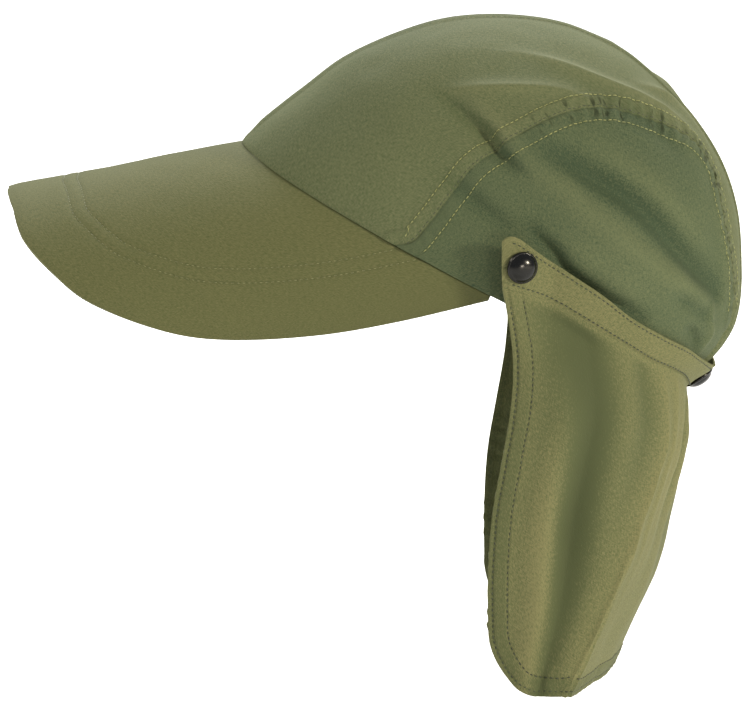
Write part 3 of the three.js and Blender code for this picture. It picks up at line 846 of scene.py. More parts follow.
FLAP_FOLDS = (
    FlapFold(0.86, 0.78, 0.7, 0.45, 0.07, 2.0),
    FlapFold(0.74, 0.665, 0.5, 0.45, 0.085, -5.4, 0.4),
    FlapFold(0.82, 0.80, 0.1, 0.22, 0.12, -3.0),
    FlapFold(0.2, 0.28, 0.3, 0.3, 0.08, 1.6),
    FlapFold(0.5, 0.56, 0.15, 0.3, 0.06, -2.0),
    FlapFold(0.39, 0.468, 0.5, 0.55, 0.018, 1.6, 0.9),
    FlapFold(0.30, 0.37, 0.25, 0.4, 0.02, 1.2, 0.8),
    FlapFold(0.12, 0.3, 0.2, 0.3, 0.04, -2.6, 0.3),
    FlapFold(0.08, 0.2, 0.2, 0.35, 0.035, 1.8, 0.5),
    FlapFold(0.04, 0.08, 0.3, 0.5, 0.05, -1.2, 0.2),
    FlapFold(0.9, 0.88, 0.5, 0.45, 0.05, -0.9, 0.2),
)


class FlapForm:
    """Shape of the neck flap: a stitched top band and a cloth that hangs from it."""

    drop = 172 * MM
    wall = 1.3 * MM
    hem_corner = 27 * MM
    band_wall = 2.2 * MM
    band_corner = 5 * MM
    band_clearance = 0.7 * MM
    tab_forward = 8 * MM
    tab_stand_off = 9 * MM
    tab_length = 20 * MM
    rear_stand_off = 1.9 * MM
    rear_tab_length = 34 * MM
    pressed_corner = 0.42
    hem_corner_share = 0.36
    rear_round = 0.3
    edge_crowding = 0.3
    hem = 8 * MM
    band_part = 0.15
    mirrored_share = 0.8

    def __init__(self, crown: CrownForm) -> None:
        """Keep the crown that the band follows, and the flap's tables.

        Args:
            crown: The crown's shape.
        """
        self.crown = crown
        self.rim = crown.rim
        mean_radius = math.hypot(self.rim.half_width, self.rim.rear_reach) / math.sqrt(2)
        self.half_length = math.pi / 2 * mean_radius + self.tab_forward
        self.band_rows = SmoothTable(BAND_ROWS)
        self.levels = SmoothTable(FLAP_LEVELS)

    @staticmethod
    def corner_pull(distance: Array, radius: float) -> Array:
        """Pull-in of a rounded corner at distances from its end."""
        within = np.clip(radius - distance, 0.0, radius)
        return np.where(distance >= radius, 0.0, radius - np.sqrt(radius**2 - within**2))

    def share_of(self, along: Array) -> Array:
        """Share of the half length at a place along the whole flap, crowded at its ends."""
        from_edge = 1 - np.abs(2 * along - 1)
        return 1 - (self.edge_crowding * from_edge + (1 - self.edge_crowding) * from_edge**2)

    def way_down(self, across: Array) -> Array:
        """Share of the way from the band's lower edge to the hem."""
        return np.clip((across - self.band_part) / (1 - self.band_part), 0.0, 1.0)

    def stand_off(self, share: Array) -> Array:
        """How far the band stands off the crown: it lifts at its tabs and at the rear stud."""
        from_front = (1 - share) * self.half_length
        from_rear = share * self.half_length
        front = (self.tab_stand_off - self.band_clearance) * (
            1 - smoothstep(from_front, -self.tab_length * 0.2, self.tab_length))
        rear = (self.rear_stand_off - self.band_clearance) * (
            1 - smoothstep(from_rear, self.rear_tab_length * 0.4, self.rear_tab_length))
        return self.band_clearance + front + rear

    def band_point(self, share: Array, across: Array, thickness: Array) -> Array:
        """Points of the band, or of a face at a thickness over its inner face.

        Args:
            share: Shares of the half length from the rear middle.
            across: Shares from the top edge down to the lower edge.
            thickness: Distance over the inner face.

        Returns:
            Points on the left half.
        """
        row = self.band_rows.at(share)
        pull = self.corner_pull((1 - share) * self.half_length, self.band_corner) / self.crown.height
        angle = lerp(row[..., 0], row[..., 2], across)
        height = lerp(row[..., 1] - pull, row[..., 3], across)
        place = self.crown.place(angle, self.crown.rise_at.at(height)[..., 0])
        right, ahead = place[..., 0], place[..., 1]
        distance = self.stand_off(share) + thickness
        return self.crown.smooth(right, ahead) + self.crown.outward(right, ahead) * distance[..., None]

    def plan(self, share: Array, depth: Array) -> Array:
        """Plan places of the hanging flap at levels under the origin.

        Args:
            share: Shares of the half length from the rear middle.
            depth: Heights, under zero.

        Returns:
            Points on the left half.
        """
        level = self.levels.at(-depth / self.drop)
        rear_y, corner_x, corner_y, side_x, side_y, front_x, front_y = np.moveaxis(level, -1, 0)
        rear = self.level_point(np.zeros_like(rear_y), rear_y, depth)
        bend = self.level_point(corner_x / 2, lerp(rear_y, corner_y, self.rear_round), depth)
        corner = self.level_point(corner_x, corner_y, depth)
        side = self.level_point(side_x, side_y, depth)
        front = self.level_point(front_x, front_y, depth)
        past_corner = (share - self.pressed_corner) / (1 - self.pressed_corner)
        behind = self.arc(rear, bend, corner, share / self.pressed_corner)
        beside = self.arc(corner, side, front, past_corner)
        return np.where((share < self.pressed_corner)[..., None], behind, beside)

    def level_point(self, side: Array, back: Array, depth: Array) -> Array:
        """Points from shares of the opening's half width and half length, at heights."""
        return np.stack([side * self.rim.half_width, back * self.rim.half_length, depth], axis=-1)

    @staticmethod
    def arc(start: Array, bend: Array, end: Array, share: Array) -> Array:
        """Curve from start to end that leans towards a bend."""
        part = np.clip(share, 0.0, 1.0)[..., None]
        return (1 - part) ** 2 * start + 2 * part * (1 - part) * bend + part**2 * end

    def fold_push(self, share: Array, down: Array, mirrored: Array) -> Array:
        """Push of the flap's folds.

        Args:
            share: Shares of the half length.
            down: Shares of the way down.
            mirrored: True on the right half, where the folds are a little flatter.

        Returns:
            Distances outwards.
        """
        total = np.zeros_like(share)
        for fold in FLAP_FOLDS:
            beside = np.abs(share - lerp(fold.top, fold.low, down)) / fold.width
            total += fold.push * MM * fold_shape(beside, fold.crisp) * bell(down - fold.down, fold.spread)
        return total * np.where(mirrored, self.mirrored_share, 1.0)

    def hanging_point(self, share: Array, down: Array, mirrored: Array) -> Array:
        """Points of the hanging cloth's outer face, on the left half.

        Args:
            share: Shares of the half length.
            down: Shares of the way down.
            mirrored: True on the right half.

        Returns:
            Points.
        """
        thickness = np.full_like(share, (self.band_wall + self.wall) / 2)
        top = self.band_point(share, np.ones_like(share), thickness)
        hem = -self.drop + self.hem_corner * self.corner_pull((1 - share) / self.hem_corner_share, 1.0)
        depth = lerp(top[..., 2], hem, down)
        hung = self.plan(share, depth)
        settle = (top - self.plan(share, top[..., 2])) * (1 - smoothstep(down, 0.0, 0.3))[..., None]
        outward = np.stack([hung[..., 0], np.maximum(hung[..., 1] - self.rim.widest_back, 0.0),
                            np.zeros_like(depth)], axis=-1)
        push = self.fold_push(share, down, mirrored) * smoothstep(down, 0.0, 0.06)
        return hung + settle + unit(outward) * push[..., None]

    def plain(self, along: Array, across: Array) -> Array:
        """Points of the band and the hanging cloth as one sheet.

        Args:
            along: Shares from the right front edge round to the left one.
            across: Shares from the band's top edge down to the hem.

        Returns:
            Points.
        """
        along, across = np.broadcast_arrays(along, across)
        share = self.share_of(along)
        in_band = np.clip(across / self.band_part, 0.0, 1.0)
        down = self.way_down(across)
        step = (self.band_wall - self.wall) / 2 * smoothstep(in_band, 0.9, 1.0)
        on_band = self.band_point(share, in_band, self.band_wall - step)
        hanging = self.hanging_point(share, down, along < 0.5)
        points = np.where((across < self.band_part)[..., None], on_band, hanging)
        side = np.where(along < 0.5, -1.0, 1.0)
        return points * np.stack([side, np.ones_like(side), np.ones_like(side)], axis=-1)

    def border(self) -> Route:
        """Line round the front edges and the hem of the flap."""
        down = np.linspace(self.band_part, 1.0, 80)
        round_it = np.linspace(0.0, 1.0, 260)
        right = self.plain(np.zeros_like(down), down)
        hem = self.plain(round_it, np.ones_like(round_it))
        left = self.plain(np.ones_like(down), down[::-1])
        return Route(np.vstack([right, hem[1:-1], left]))


def colour(code: str) -> tuple[float, float, float, float]:
    """Linear colour of an sRGB hex code such as "6c7550".

    Args:
        code: Six hex digits.

    Returns:
        Red, green, blue and full alpha.
    """
    parts = [int(code[place:place + 2], 16) / 255 for place in (0, 2, 4)]
    linear = [part / 12.92 if part <= 0.04045 else ((part + 0.055) / 1.055) ** 2.4 for part in parts]
    return (*linear, 1.0)


def feed(tree: bpy.types.NodeTree, node: bpy.types.Node, inputs: dict) -> None:
    """Set a node's input sockets, or link them to nodes or to their output sockets.

    Args:
        tree: Tree that holds the node.
        node: Node to feed.
        inputs: Value, node or output socket for each input socket.
    """
    for socket, value in inputs.items():
        source = value.outputs[0] if isinstance(value, bpy.types.Node) else value
        if isinstance(source, bpy.types.NodeSocket):
            tree.links.new(source, node.inputs[socket])
        else:
            node.inputs[socket].default_value = source


def add_node(tree: bpy.types.NodeTree, kind: str, inputs: dict, **settings: object) -> bpy.types.Node:
    """Add a node with its settings, values and links.

    Args:
        tree: Tree that gets the node.
        kind: Name of the node's type.
        inputs: Value, node or output socket for each input socket.
        settings: Properties of the node itself.

    Returns:
        The new node.
    """
    node = tree.nodes.new(kind)
    for name, value in settings.items():
        setattr(node, name, value)
    feed(tree, node, inputs)
    return node


def new_material(name: str) -> tuple[bpy.types.Material, bpy.types.NodeTree, bpy.types.Node]:
    """Make a material with a bare shader.

    Args:
        name: Name of the material.

    Returns:
        The material, its tree and its shader.
    """
    material = bpy.data.materials.new(name)
    material.use_nodes = True
    tree = material.node_tree
    tree.nodes.clear()
    shader = tree.nodes.new("ShaderNodeBsdfPrincipled")
    add_node(tree, "ShaderNodeOutputMaterial", {"Surface": shader.outputs[0]})
    return material, tree, shader


@dataclass(frozen=True)
class WovenCloth:
    """Peached microfibre in plain weave: matt, with a fine crossed grain and a soft bloom at its edges.

    The real threads lie 0.2 mm apart, under half a pixel, so the grain is drawn at
    thread, about two and a half times as coarse, to show as a faint crosshatch.
    Lengths are in millimetres, and the mesh stores its marks in millimetres too. Fold ridges get painted
    light, and fold valleys, seams, sewn rows and puckers get painted shade.
    """

    name: str
    lit: str
    deep: str
    # Colour of the painted shade that fold valleys, sewn rows, seam puckers and seam lines are darkened
    # towards.
    shade_tone: str = "2c3522"
    bloom_tint: str = "b9bd93"
    thread: float = 0.5
    thread_run: float = 0.3
    grain: float = 1.7
    patches_per_metre: float = 26.0
    patch_contrast: float = 0.3
    # Shares of painted light on fold ridges, then of painted shade in fold valleys, sewn rows, seam puckers
    # and seam lines.
    ridge_lit: float = 0.22
    valley_shade: float = 0.085
    row_shade: float = 0.2
    crease_shade: float = 0.75
    seam_shade: float = 0.5
    crease_dent: float = 2.5
    row_dent: float = 1.4
    seam_width: float = 0.8
    row_width: float = 0.9
    creases_per_mm: tuple[float, float] = (0.34, 0.11)
    relief: float = 0.22
    roughness: float = 0.82
    bloom: float = 0.15

    def build(self) -> bpy.types.Material:
        """Make the cloth's material, with patterns in millimetres along its own threads."""
        material, tree, shader = new_material(self.name)
        marks = {mark: add_node(tree, "ShaderNodeAttribute", {}, attribute_name=mark).outputs["Fac"]
                 for mark in ("seam_mm", "row_mm", "fold_mm", "run_mm", "pucker_mm")}
        grain = self.weave(tree)
        crease = self.puckers(tree, marks)
        seam_line = self.line(tree, marks["seam_mm"], self.seam_width)
        row_line = self.line(tree, marks["row_mm"], self.row_width)
        place = add_node(tree, "ShaderNodeTexCoord", {}).outputs["Object"]
        patches = add_node(tree, "ShaderNodeTexNoise", {
            "Vector": place, "Scale": self.patches_per_metre, "Detail": 3.0})
        # Tone between deep and lit: the grain, random patches, and painted light on fold ridges.
        light = self.add_up(tree, 0.35 - self.grain, (
            (grain, self.grain), (patches, self.patch_contrast), (marks["fold_mm"], self.ridge_lit)))
        # Painted shade: fold valleys, sewn rows, seam puckers and seam lines are darkened.
        dark = self.add_up(tree, 0.0, (
            (row_line, self.row_shade), (marks["fold_mm"], -self.valley_shade),
            (crease, self.crease_shade), (seam_line, self.seam_shade)), clamped=True)
        dents = self.add_up(tree, grain, ((crease, -self.crease_dent), (row_line, -self.row_dent)))
        cloth = add_node(tree, "ShaderNodeMix", {
            0: light, 6: colour(self.deep), 7: colour(self.lit)}, data_type="RGBA")
        shaded = add_node(tree, "ShaderNodeMix", {
            0: dark, 6: cloth.outputs[2], 7: colour(self.shade_tone)}, data_type="RGBA")
        bump = add_node(tree, "ShaderNodeBump", {
            "Strength": 0.55, "Distance": self.relief * MM, "Height": dents})
        feed(tree, shader, {
            "Base Color": shaded.outputs[2], "Normal": bump, "Roughness": self.roughness, "IOR": 1.45,
            "Specular IOR Level": 0.3, "Sheen Weight": self.bloom, "Sheen Roughness": 0.45,
            "Sheen Tint": colour(self.bloom_tint)})
        return material

    def weave(self, tree: bpy.types.NodeTree) -> bpy.types.Node:
        """Height of the crossed threads, the sum of warp and weft."""
        across, along = 1 / self.thread, self.thread_run / self.thread
        place = add_node(tree, "ShaderNodeUVMap", {}, uv_map="weave")
        warp = self.swells(tree, place, (across, along), 1.5, 0.6)
        weft = self.swells(tree, place, (along, across), 1.5, 0.6)
        return add_node(tree, "ShaderNodeMath", {0: warp, 1: weft}, operation="ADD")

    def puckers(self, tree: bpy.types.NodeTree, marks: dict) -> bpy.types.Node:
        """Short narrow creases square to a seam, where its thread draws the cloth in.

        Args:
            tree: Tree that gets the nodes.
            marks: Sockets of the mesh's marks.

        Returns:
            Node that gives 1 in a crease and 0 beside it.
        """
        place = add_node(tree, "ShaderNodeCombineXYZ", {"X": marks["run_mm"], "Y": marks["seam_mm"]})
        swells = self.swells(tree, place, self.creases_per_mm, 1.0, 0.5)
        crease = add_node(tree, "ShaderNodeMapRange", {
            "Value": swells, "From Min": 0.56, "From Max": 0.68}, interpolation_type="SMOOTHSTEP")
        return add_node(tree, "ShaderNodeMath", {0: crease, 1: marks["pucker_mm"]}, operation="MULTIPLY")

    @staticmethod
    def swells(tree: bpy.types.NodeTree, place: bpy.types.Node, per_mm: tuple[float, float],
               detail: float, roughness: float) -> bpy.types.Node:
        """Uneven swells, longer one way than the other.

        Args:
            tree: Tree that gets the nodes.
            place: Places on the cloth, in millimetres.
            per_mm: Swells for each millimetre, both ways.
            detail: Finer layers of the pattern.
            roughness: Strength of the finer layers.

        Returns:
            Node that gives heights from 0 to 1.
        """
        scaled = add_node(tree, "ShaderNodeMapping", {"Vector": place, "Scale": (*per_mm, 1.0)})
        return add_node(tree, "ShaderNodeTexNoise", {
            "Vector": scaled, "Scale": 1.0, "Detail": detail, "Roughness": roughness})

    @staticmethod
    def line(tree: bpy.types.NodeTree, distance: bpy.types.NodeSocket, width: float) -> bpy.types.Node:
        """Soft line along a distance of zero.

        Args:
            tree: Tree that gets the nodes.
            distance: Distance in millimetres.
            width: Distance at which the line has faded, in millimetres.

        Returns:
            Node that gives 1 on the line and 0 beside it.
        """
        return add_node(tree, "ShaderNodeMapRange", {
            "Value": distance, "From Min": 0.0, "From Max": width, "To Min": 1.0, "To Max": 0.0},
            interpolation_type="SMOOTHSTEP")

    @staticmethod
    def add_up(tree: bpy.types.NodeTree, start: object, parts: Sequence[tuple[object, float]],
               clamped: bool = False) -> bpy.types.Node:
        """Add parts to a start, each times its own factor.

        Args:
            tree: Tree that gets the nodes.
            start: Value, node or socket to start from.
            parts: Pairs of a node or socket and its factor.
            clamped: True to hold each sum between 0 and 1.

        Returns:
            Node that gives the sum.
        """
        total = start
        for part, factor in parts:
            total = add_node(tree, "ShaderNodeMath", {0: part, 1: factor, 2: total},
                             operation="MULTIPLY_ADD", use_clamp=clamped)
        return total


@dataclass(frozen=True)
class SewingThread:
    """Spun polyester thread: twisted, a little glossier and paler than the cloth."""

    name: str
    lit: str
    deep: str
    twist_scale: float = 318.3

    def build(self) -> bpy.types.Material:
        """Make the thread's material, with its twist in slanting bands about a millimetre apart."""
        material, tree, shader = new_material(self.name)
        place = add_node(tree, "ShaderNodeTexCoord", {}).outputs["Object"]
        twist = add_node(tree, "ShaderNodeTexWave", {
            "Vector": place, "Scale": self.twist_scale, "Distortion": 1.5, "Detail": 1.0},
            bands_direction="DIAGONAL")
        tone = add_node(tree, "ShaderNodeMix", {
            0: twist.outputs["Fac"], 6: colour(self.deep), 7: colour(self.lit)}, data_type="RGBA")
        feed(tree, shader, {"Base Color": tone.outputs[2], "Roughness": 0.55, "Sheen Weight": 0.1})
        return material


@dataclass(frozen=True)
class EnamelledBrass:
    """Pressed brass with baked black enamel: deep, wet-looking gloss with a faint orange peel."""

    name: str
    enamel: str
    roughness: float
    dust: str = "101214"
    dusted: float = 0.12
    peel_per_metre: float = 900.0
    marks_per_metre: float = 2600.0

    def build(self) -> bpy.types.Material:
        """Make the enamel, with fine dust marks that roughen it."""
        material, tree, shader = new_material(self.name)
        place = add_node(tree, "ShaderNodeTexCoord", {}).outputs["Object"]
        peel = add_node(tree, "ShaderNodeTexNoise", {
            "Vector": place, "Scale": self.peel_per_metre, "Detail": 2.0})
        marks = add_node(tree, "ShaderNodeTexNoise", {
            "Vector": place, "Scale": self.marks_per_metre, "Detail": 3.0})
        rough = add_node(tree, "ShaderNodeMapRange", {
            "Value": marks, "From Min": 0.35, "From Max": 0.7,
            "To Min": self.roughness, "To Max": self.roughness + self.dusted})
        tone = add_node(tree, "ShaderNodeMix", {
            0: marks, 6: colour(self.enamel), 7: colour(self.dust)}, data_type="RGBA")
        bump = add_node(tree, "ShaderNodeBump", {"Strength": 0.06, "Distance": 0.1 * MM, "Height": peel})
        feed(tree, shader, {
            "Base Color": tone.outputs[2], "Roughness": rough, "Normal": bump, "IOR": 1.4,
            "Coat Weight": 0.1, "Coat Roughness": 0.05})
        return material


@dataclass(frozen=True)
class Finishes:
    """Every finish of the cap."""

    crown: bpy.types.Material
    side: bpy.types.Material
    peak: bpy.types.Material
    flap: bpy.types.Material
    thread: bpy.types.Material
    dull_thread: bpy.types.Material
    dark_thread: bpy.types.Material
    cap: bpy.types.Material
    stud: bpy.types.Material

    @classmethod
    def build(cls) -> "Finishes":
        """Make all the materials once."""
        return cls(
            crown=WovenCloth("olive_microfibre_crown", "6c7152", "4a573b").build(),
            # The side panels take a darker, greener copy of the crown's cloth: painted shade for the crown's
            # hollow sides.
            side=WovenCloth("olive_microfibre_side", "5f684b", "3a4b37").build(),
            peak=WovenCloth("olive_microfibre_peak", "696a47", "4f5635").build(),
            flap=WovenCloth("olive_microfibre_flap", "7b7a55", "565e3e").build(),
            thread=SewingThread("pale_olive_thread", "9c9f66", "7a7f4c").build(),
            dull_thread=SewingThread("olive_thread", "7c7f55", "5f6540").build(),
            # A darker copy of the thread: painted shade for stitches sunk in the side seams and along the
            # flap's shaded rows.
            dark_thread=SewingThread("deep_olive_thread", "37412a", "262d1a").build(),
            cap=EnamelledBrass("black_enamelled_brass", "050607", 0.16).build(),
            stud=EnamelledBrass("black_enamelled_stud", "0e1011", 0.3).build(),
        )


class Slot(Enum):
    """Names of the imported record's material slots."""

    CROWN = "crown_cloth"
    PEAK = "peak_cloth"
    FLAP = "flap_cloth"
    CAP = "snap_cap"


def deselect_all() -> None:
    """Leave nothing selected, the frame's nodes included."""
    if bpy.context.mode != "OBJECT":
        bpy.ops.object.mode_set(mode="OBJECT")
    bpy.ops.object.select_all(action="DESELECT")


def make_active(piece: bpy.types.Object) -> None:
    """Select one piece alone and make it active."""
    deselect_all()
    piece.select_set(True)
    bpy.context.view_layer.objects.active = piece


def apply_modifiers(piece: bpy.types.Object) -> None:
    """Apply every modifier of a piece, in order."""
    make_active(piece)
    for modifier in list(piece.modifiers):
        bpy.ops.object.modifier_apply(modifier=modifier.name)


def finish_piece(piece: bpy.types.Object, material: bpy.types.Material,
                 nodes: Sequence[str] = ()) -> None:
    """Dress a piece and tie it to the frame.

    Args:
        piece: Finished mesh object at the origin.
        material: Its material.
        nodes: CAD nodes that it stands for.
    """
    piece.data.materials.clear()
    piece.data.materials.append(material)
    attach(piece, BODY)
    if nodes:
        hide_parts(*nodes)
    log.info("%s: %d faces", piece.name, len(piece.data.polygons))


@dataclass(frozen=True)
class ClothCut:
    """How a piece of cloth is cut: faces along and across, its wall and its edges."""

    steps: int
    cross_steps: int
    wall: float
    edge_round: float = 0.35 * MM
    edge_angle: float = math.radians(62)
    smooth_angle: float = math.radians(45)


class ClothMaker:
    """Makes closed walls of cloth from surfaces of two numbers."""

    head = np.array([0.0, 0.01, -0.09])

    def make(self, name: str, surface: Surface, cut: ClothCut, marks: Marks,
             warp: Places | None = None) -> bpy.types.Object:
        """Lay a grid onto a surface and give it its wall.

        Args:
            name: Name of the piece.
            surface: Outer face, from two shares.
            cut: Faces, wall and edge of the cloth.
            marks: Gives named distances in metres, from points and their two shares.
            warp: Optional change of the two shares, to crowd rows near an edge.

        Returns:
            The finished mesh object.
        """
        deselect_all()
        bpy.ops.mesh.primitive_grid_add(x_subdivisions=cut.steps, y_subdivisions=cut.cross_steps, size=1.0)
        piece = bpy.context.object
        piece.name = name
        piece.data.name = name
        mesh = piece.data
        flat = np.zeros(len(mesh.vertices) * 3)
        mesh.vertices.foreach_get("co", flat)
        flat = flat.reshape(-1, 3)
        column = np.rint((flat[:, 0] + 0.5) * cut.steps).astype(int)
        row = np.rint((flat[:, 1] + 0.5) * cut.cross_steps).astype(int)
        along, across = np.meshgrid(np.linspace(0, 1, cut.steps + 1), np.linspace(0, 1, cut.cross_steps + 1))
        if warp is not None:
            along, across = warp(along, across)
        points = surface(along, across)
        mesh.vertices.foreach_set("co", points[row, column].ravel())
        self.mark_threads(mesh, points, row, column)
        for mark, distance in marks(points[row, column], along[row, column], across[row, column]).items():
            layer = mesh.attributes.new(mark, "FLOAT", "POINT")
            layer.data.foreach_set("value", (distance / MM).astype(np.float32))
        mesh.update()
        self.face_outwards(piece)
        self.thicken(piece, cut)
        return piece

    @staticmethod
    def mark_threads(mesh: bpy.types.Mesh, points: Array, row: Array, column: Array) -> None:
        """Store each vertex's place along the threads, in millimetres.

        Args:
            mesh: The grid's mesh.
            points: Points by row and column.
            row: Row of each vertex.
            column: Column of each vertex.
        """
        along = np.linalg.norm(np.diff(points, axis=1), axis=-1)
        across = np.linalg.norm(np.diff(points, axis=0), axis=-1)
        warp = np.pad(np.cumsum(along, axis=1), ((0, 0), (1, 0)))
        weft = np.pad(np.cumsum(across, axis=0), ((1, 0), (0, 0)))
        warp = warp - warp[:, points.shape[1] // 2, None]
        places = np.stack([warp[row, column], weft[row, column]], axis=-1) / MM
        corners = np.zeros(len(mesh.loops), int)
        mesh.loops.foreach_get("vertex_index", corners)
        layer = mesh.uv_layers[0] if mesh.uv_layers else mesh.uv_layers.new()
        layer.name = "weave"
        layer.data.foreach_set("uv", places[corners].ravel())

    def face_outwards(self, piece: bpy.types.Object) -> None:
        """Turn the faces of an open sheet away from the head."""
        mesh = piece.data
        centres = np.zeros(len(mesh.polygons) * 3)
        normals = np.zeros(len(mesh.polygons) * 3)
        mesh.polygons.foreach_get("center", centres)
        mesh.polygons.foreach_get("normal", normals)
        if dot(centres.reshape(-1, 3) - self.head, normals.reshape(-1, 3)).mean() < 0:
            mesh.flip_normals()

    @staticmethod
    def thicken(piece: bpy.types.Object, cut: ClothCut) -> None:
        """Give a sheet its wall inwards and round its edges."""
        wall = piece.modifiers.new("wall", "SOLIDIFY")
        wall.thickness = cut.wall
        wall.offset = -1.0
        wall.use_rim = True
        edge = piece.modifiers.new("edge", "BEVEL")
        edge.width = cut.edge_round
        edge.segments = 2
        edge.limit_method = "ANGLE"
        edge.angle_limit = cut.edge_angle
        edge.use_clamp_overlap = True
        apply_modifiers(piece)
        bpy.ops.object.shade_smooth_by_angle(angle=cut.smooth_angle)


@dataclass(frozen=True)
class Stitching:
    """Rows of lockstitches: their pitch, length, thread and lift, and how each stitch is formed.

    A stitch narrows and dips towards its ends by shares of its thread, and wobble is
    how far its direction strays, in radians.
    """

    pitch: float = 2.35 * MM
    stitch: float = 2.0 * MM
    thread: float = 0.4 * MM
    lift: float = 0.1 * MM
    sides: int = 6
    cuts: int = 3
    narrowing: float = 0.45
    dip: float = 0.75
    wobble: float = 0.06

    def one(self) -> tuple[Array, list[list[int]]]:
        """Model one stitch: a thread that rises from one needle hole and dips into the next.

        Returns:
            Points and faces of the stitch, lying along +X with +Z outwards.
        """
        deselect_all()
        bpy.ops.mesh.primitive_cylinder_add(vertices=self.sides, radius=self.thread / 2, depth=self.stitch,
                                            end_fill_type="NGON", rotation=(0, math.pi / 2, 0))
        piece = bpy.context.object
        bpy.ops.object.transform_apply(location=True, rotation=True, scale=True)
        bpy.ops.object.mode_set(mode="EDIT")
        bpy.ops.mesh.select_all(action="DESELECT")
        bpy.ops.mesh.select_mode(type="EDGE")
        form = bmesh.from_edit_mesh(piece.data)
        for edge in form.edges:
            span = edge.verts[0].co - edge.verts[1].co
            edge.select_set(abs(span.x) > self.stitch * 0.9)
        bmesh.update_edit_mesh(piece.data)
        bpy.ops.mesh.subdivide(number_cuts=self.cuts)
        bpy.ops.object.mode_set(mode="OBJECT")
        for vertex in piece.data.vertices:
            share = abs(vertex.co.x) / (self.stitch / 2)
            narrow = 1.0 - self.narrowing * share**3
            vertex.co.y *= narrow
            vertex.co.z = vertex.co.z * narrow + self.lift - self.dip * self.thread * share**2
        mesh = piece.data
        points = np.array([vertex.co[:] for vertex in mesh.vertices])
        faces = [list(polygon.vertices) for polygon in mesh.polygons]
        bpy.data.objects.remove(piece)
        bpy.data.meshes.remove(mesh)
        return points, faces

    def sew(self, name: str, rows: Sequence[Row], seed: int, thread: bpy.types.Material) -> bpy.types.Object:
        """Sew rows of stitches as one joined mesh, and dress it.

        Args:
            name: Name of the piece.
            rows: Points and outward normals along each row.
            seed: Seed of the small unevenness between stitches.
            thread: Material of the thread.

        Returns:
            The finished mesh object.
        """
        shape, faces = self.one()
        chance = np.random.default_rng(seed)
        points, corners = [], []
        for line, normals in rows:
            route = Route(line)
            count = int(route.length / self.pitch)
            starts = (np.arange(count) + 0.5) * self.pitch
            middle = route.at(starts)
            way = unit(route.at(starts + self.pitch / 2) - route.at(starts - self.pitch / 2))
            out = interpolate(starts, route.travel, normals)
            out = unit(out - way * dot(out, way)[:, None])
            turn = chance.normal(0.0, self.wobble, count)[:, None]
            way = unit(way + np.cross(out, way) * turn)
            square = np.cross(out, way)
            for index in range(count):
                axes = np.stack([way[index], square[index], out[index]])
                corners.extend([corner + len(points) * len(shape) for corner in face] for face in faces)
                points.append(shape @ axes + middle[index])
        mesh = bpy.data.meshes.new(name)
        mesh.from_pydata(np.vstack(points).tolist(), [], corners)
        piece = bpy.data.objects.new(name, mesh)
        bpy.context.scene.collection.objects.link(piece)
        mesh.shade_smooth()
        finish_piece(piece, thread)
        return piece


def row_on(surface: Surface, first: Array, second: Array, step: float, inner: Array) -> Row:
    """A sewn row on a surface.

    Args:
        surface: The cloth's outer face.
        first: First numbers along the row.
        second: Second numbers along the row.
        step: Small step for the normals.
        inner: Point that the normals look away from.

    Returns:
        Points and outward normals along the row.
    """
    points = surface(first, second)
    return points, facing(normals_of(surface, first, second, step), points - inner)


def mirrored_row(row: Row) -> Row:
    """The same row on the other side of the cap."""
    flip = np.array([-1.0, 1.0, 1.0])
    return row[0] * flip, row[1] * flip


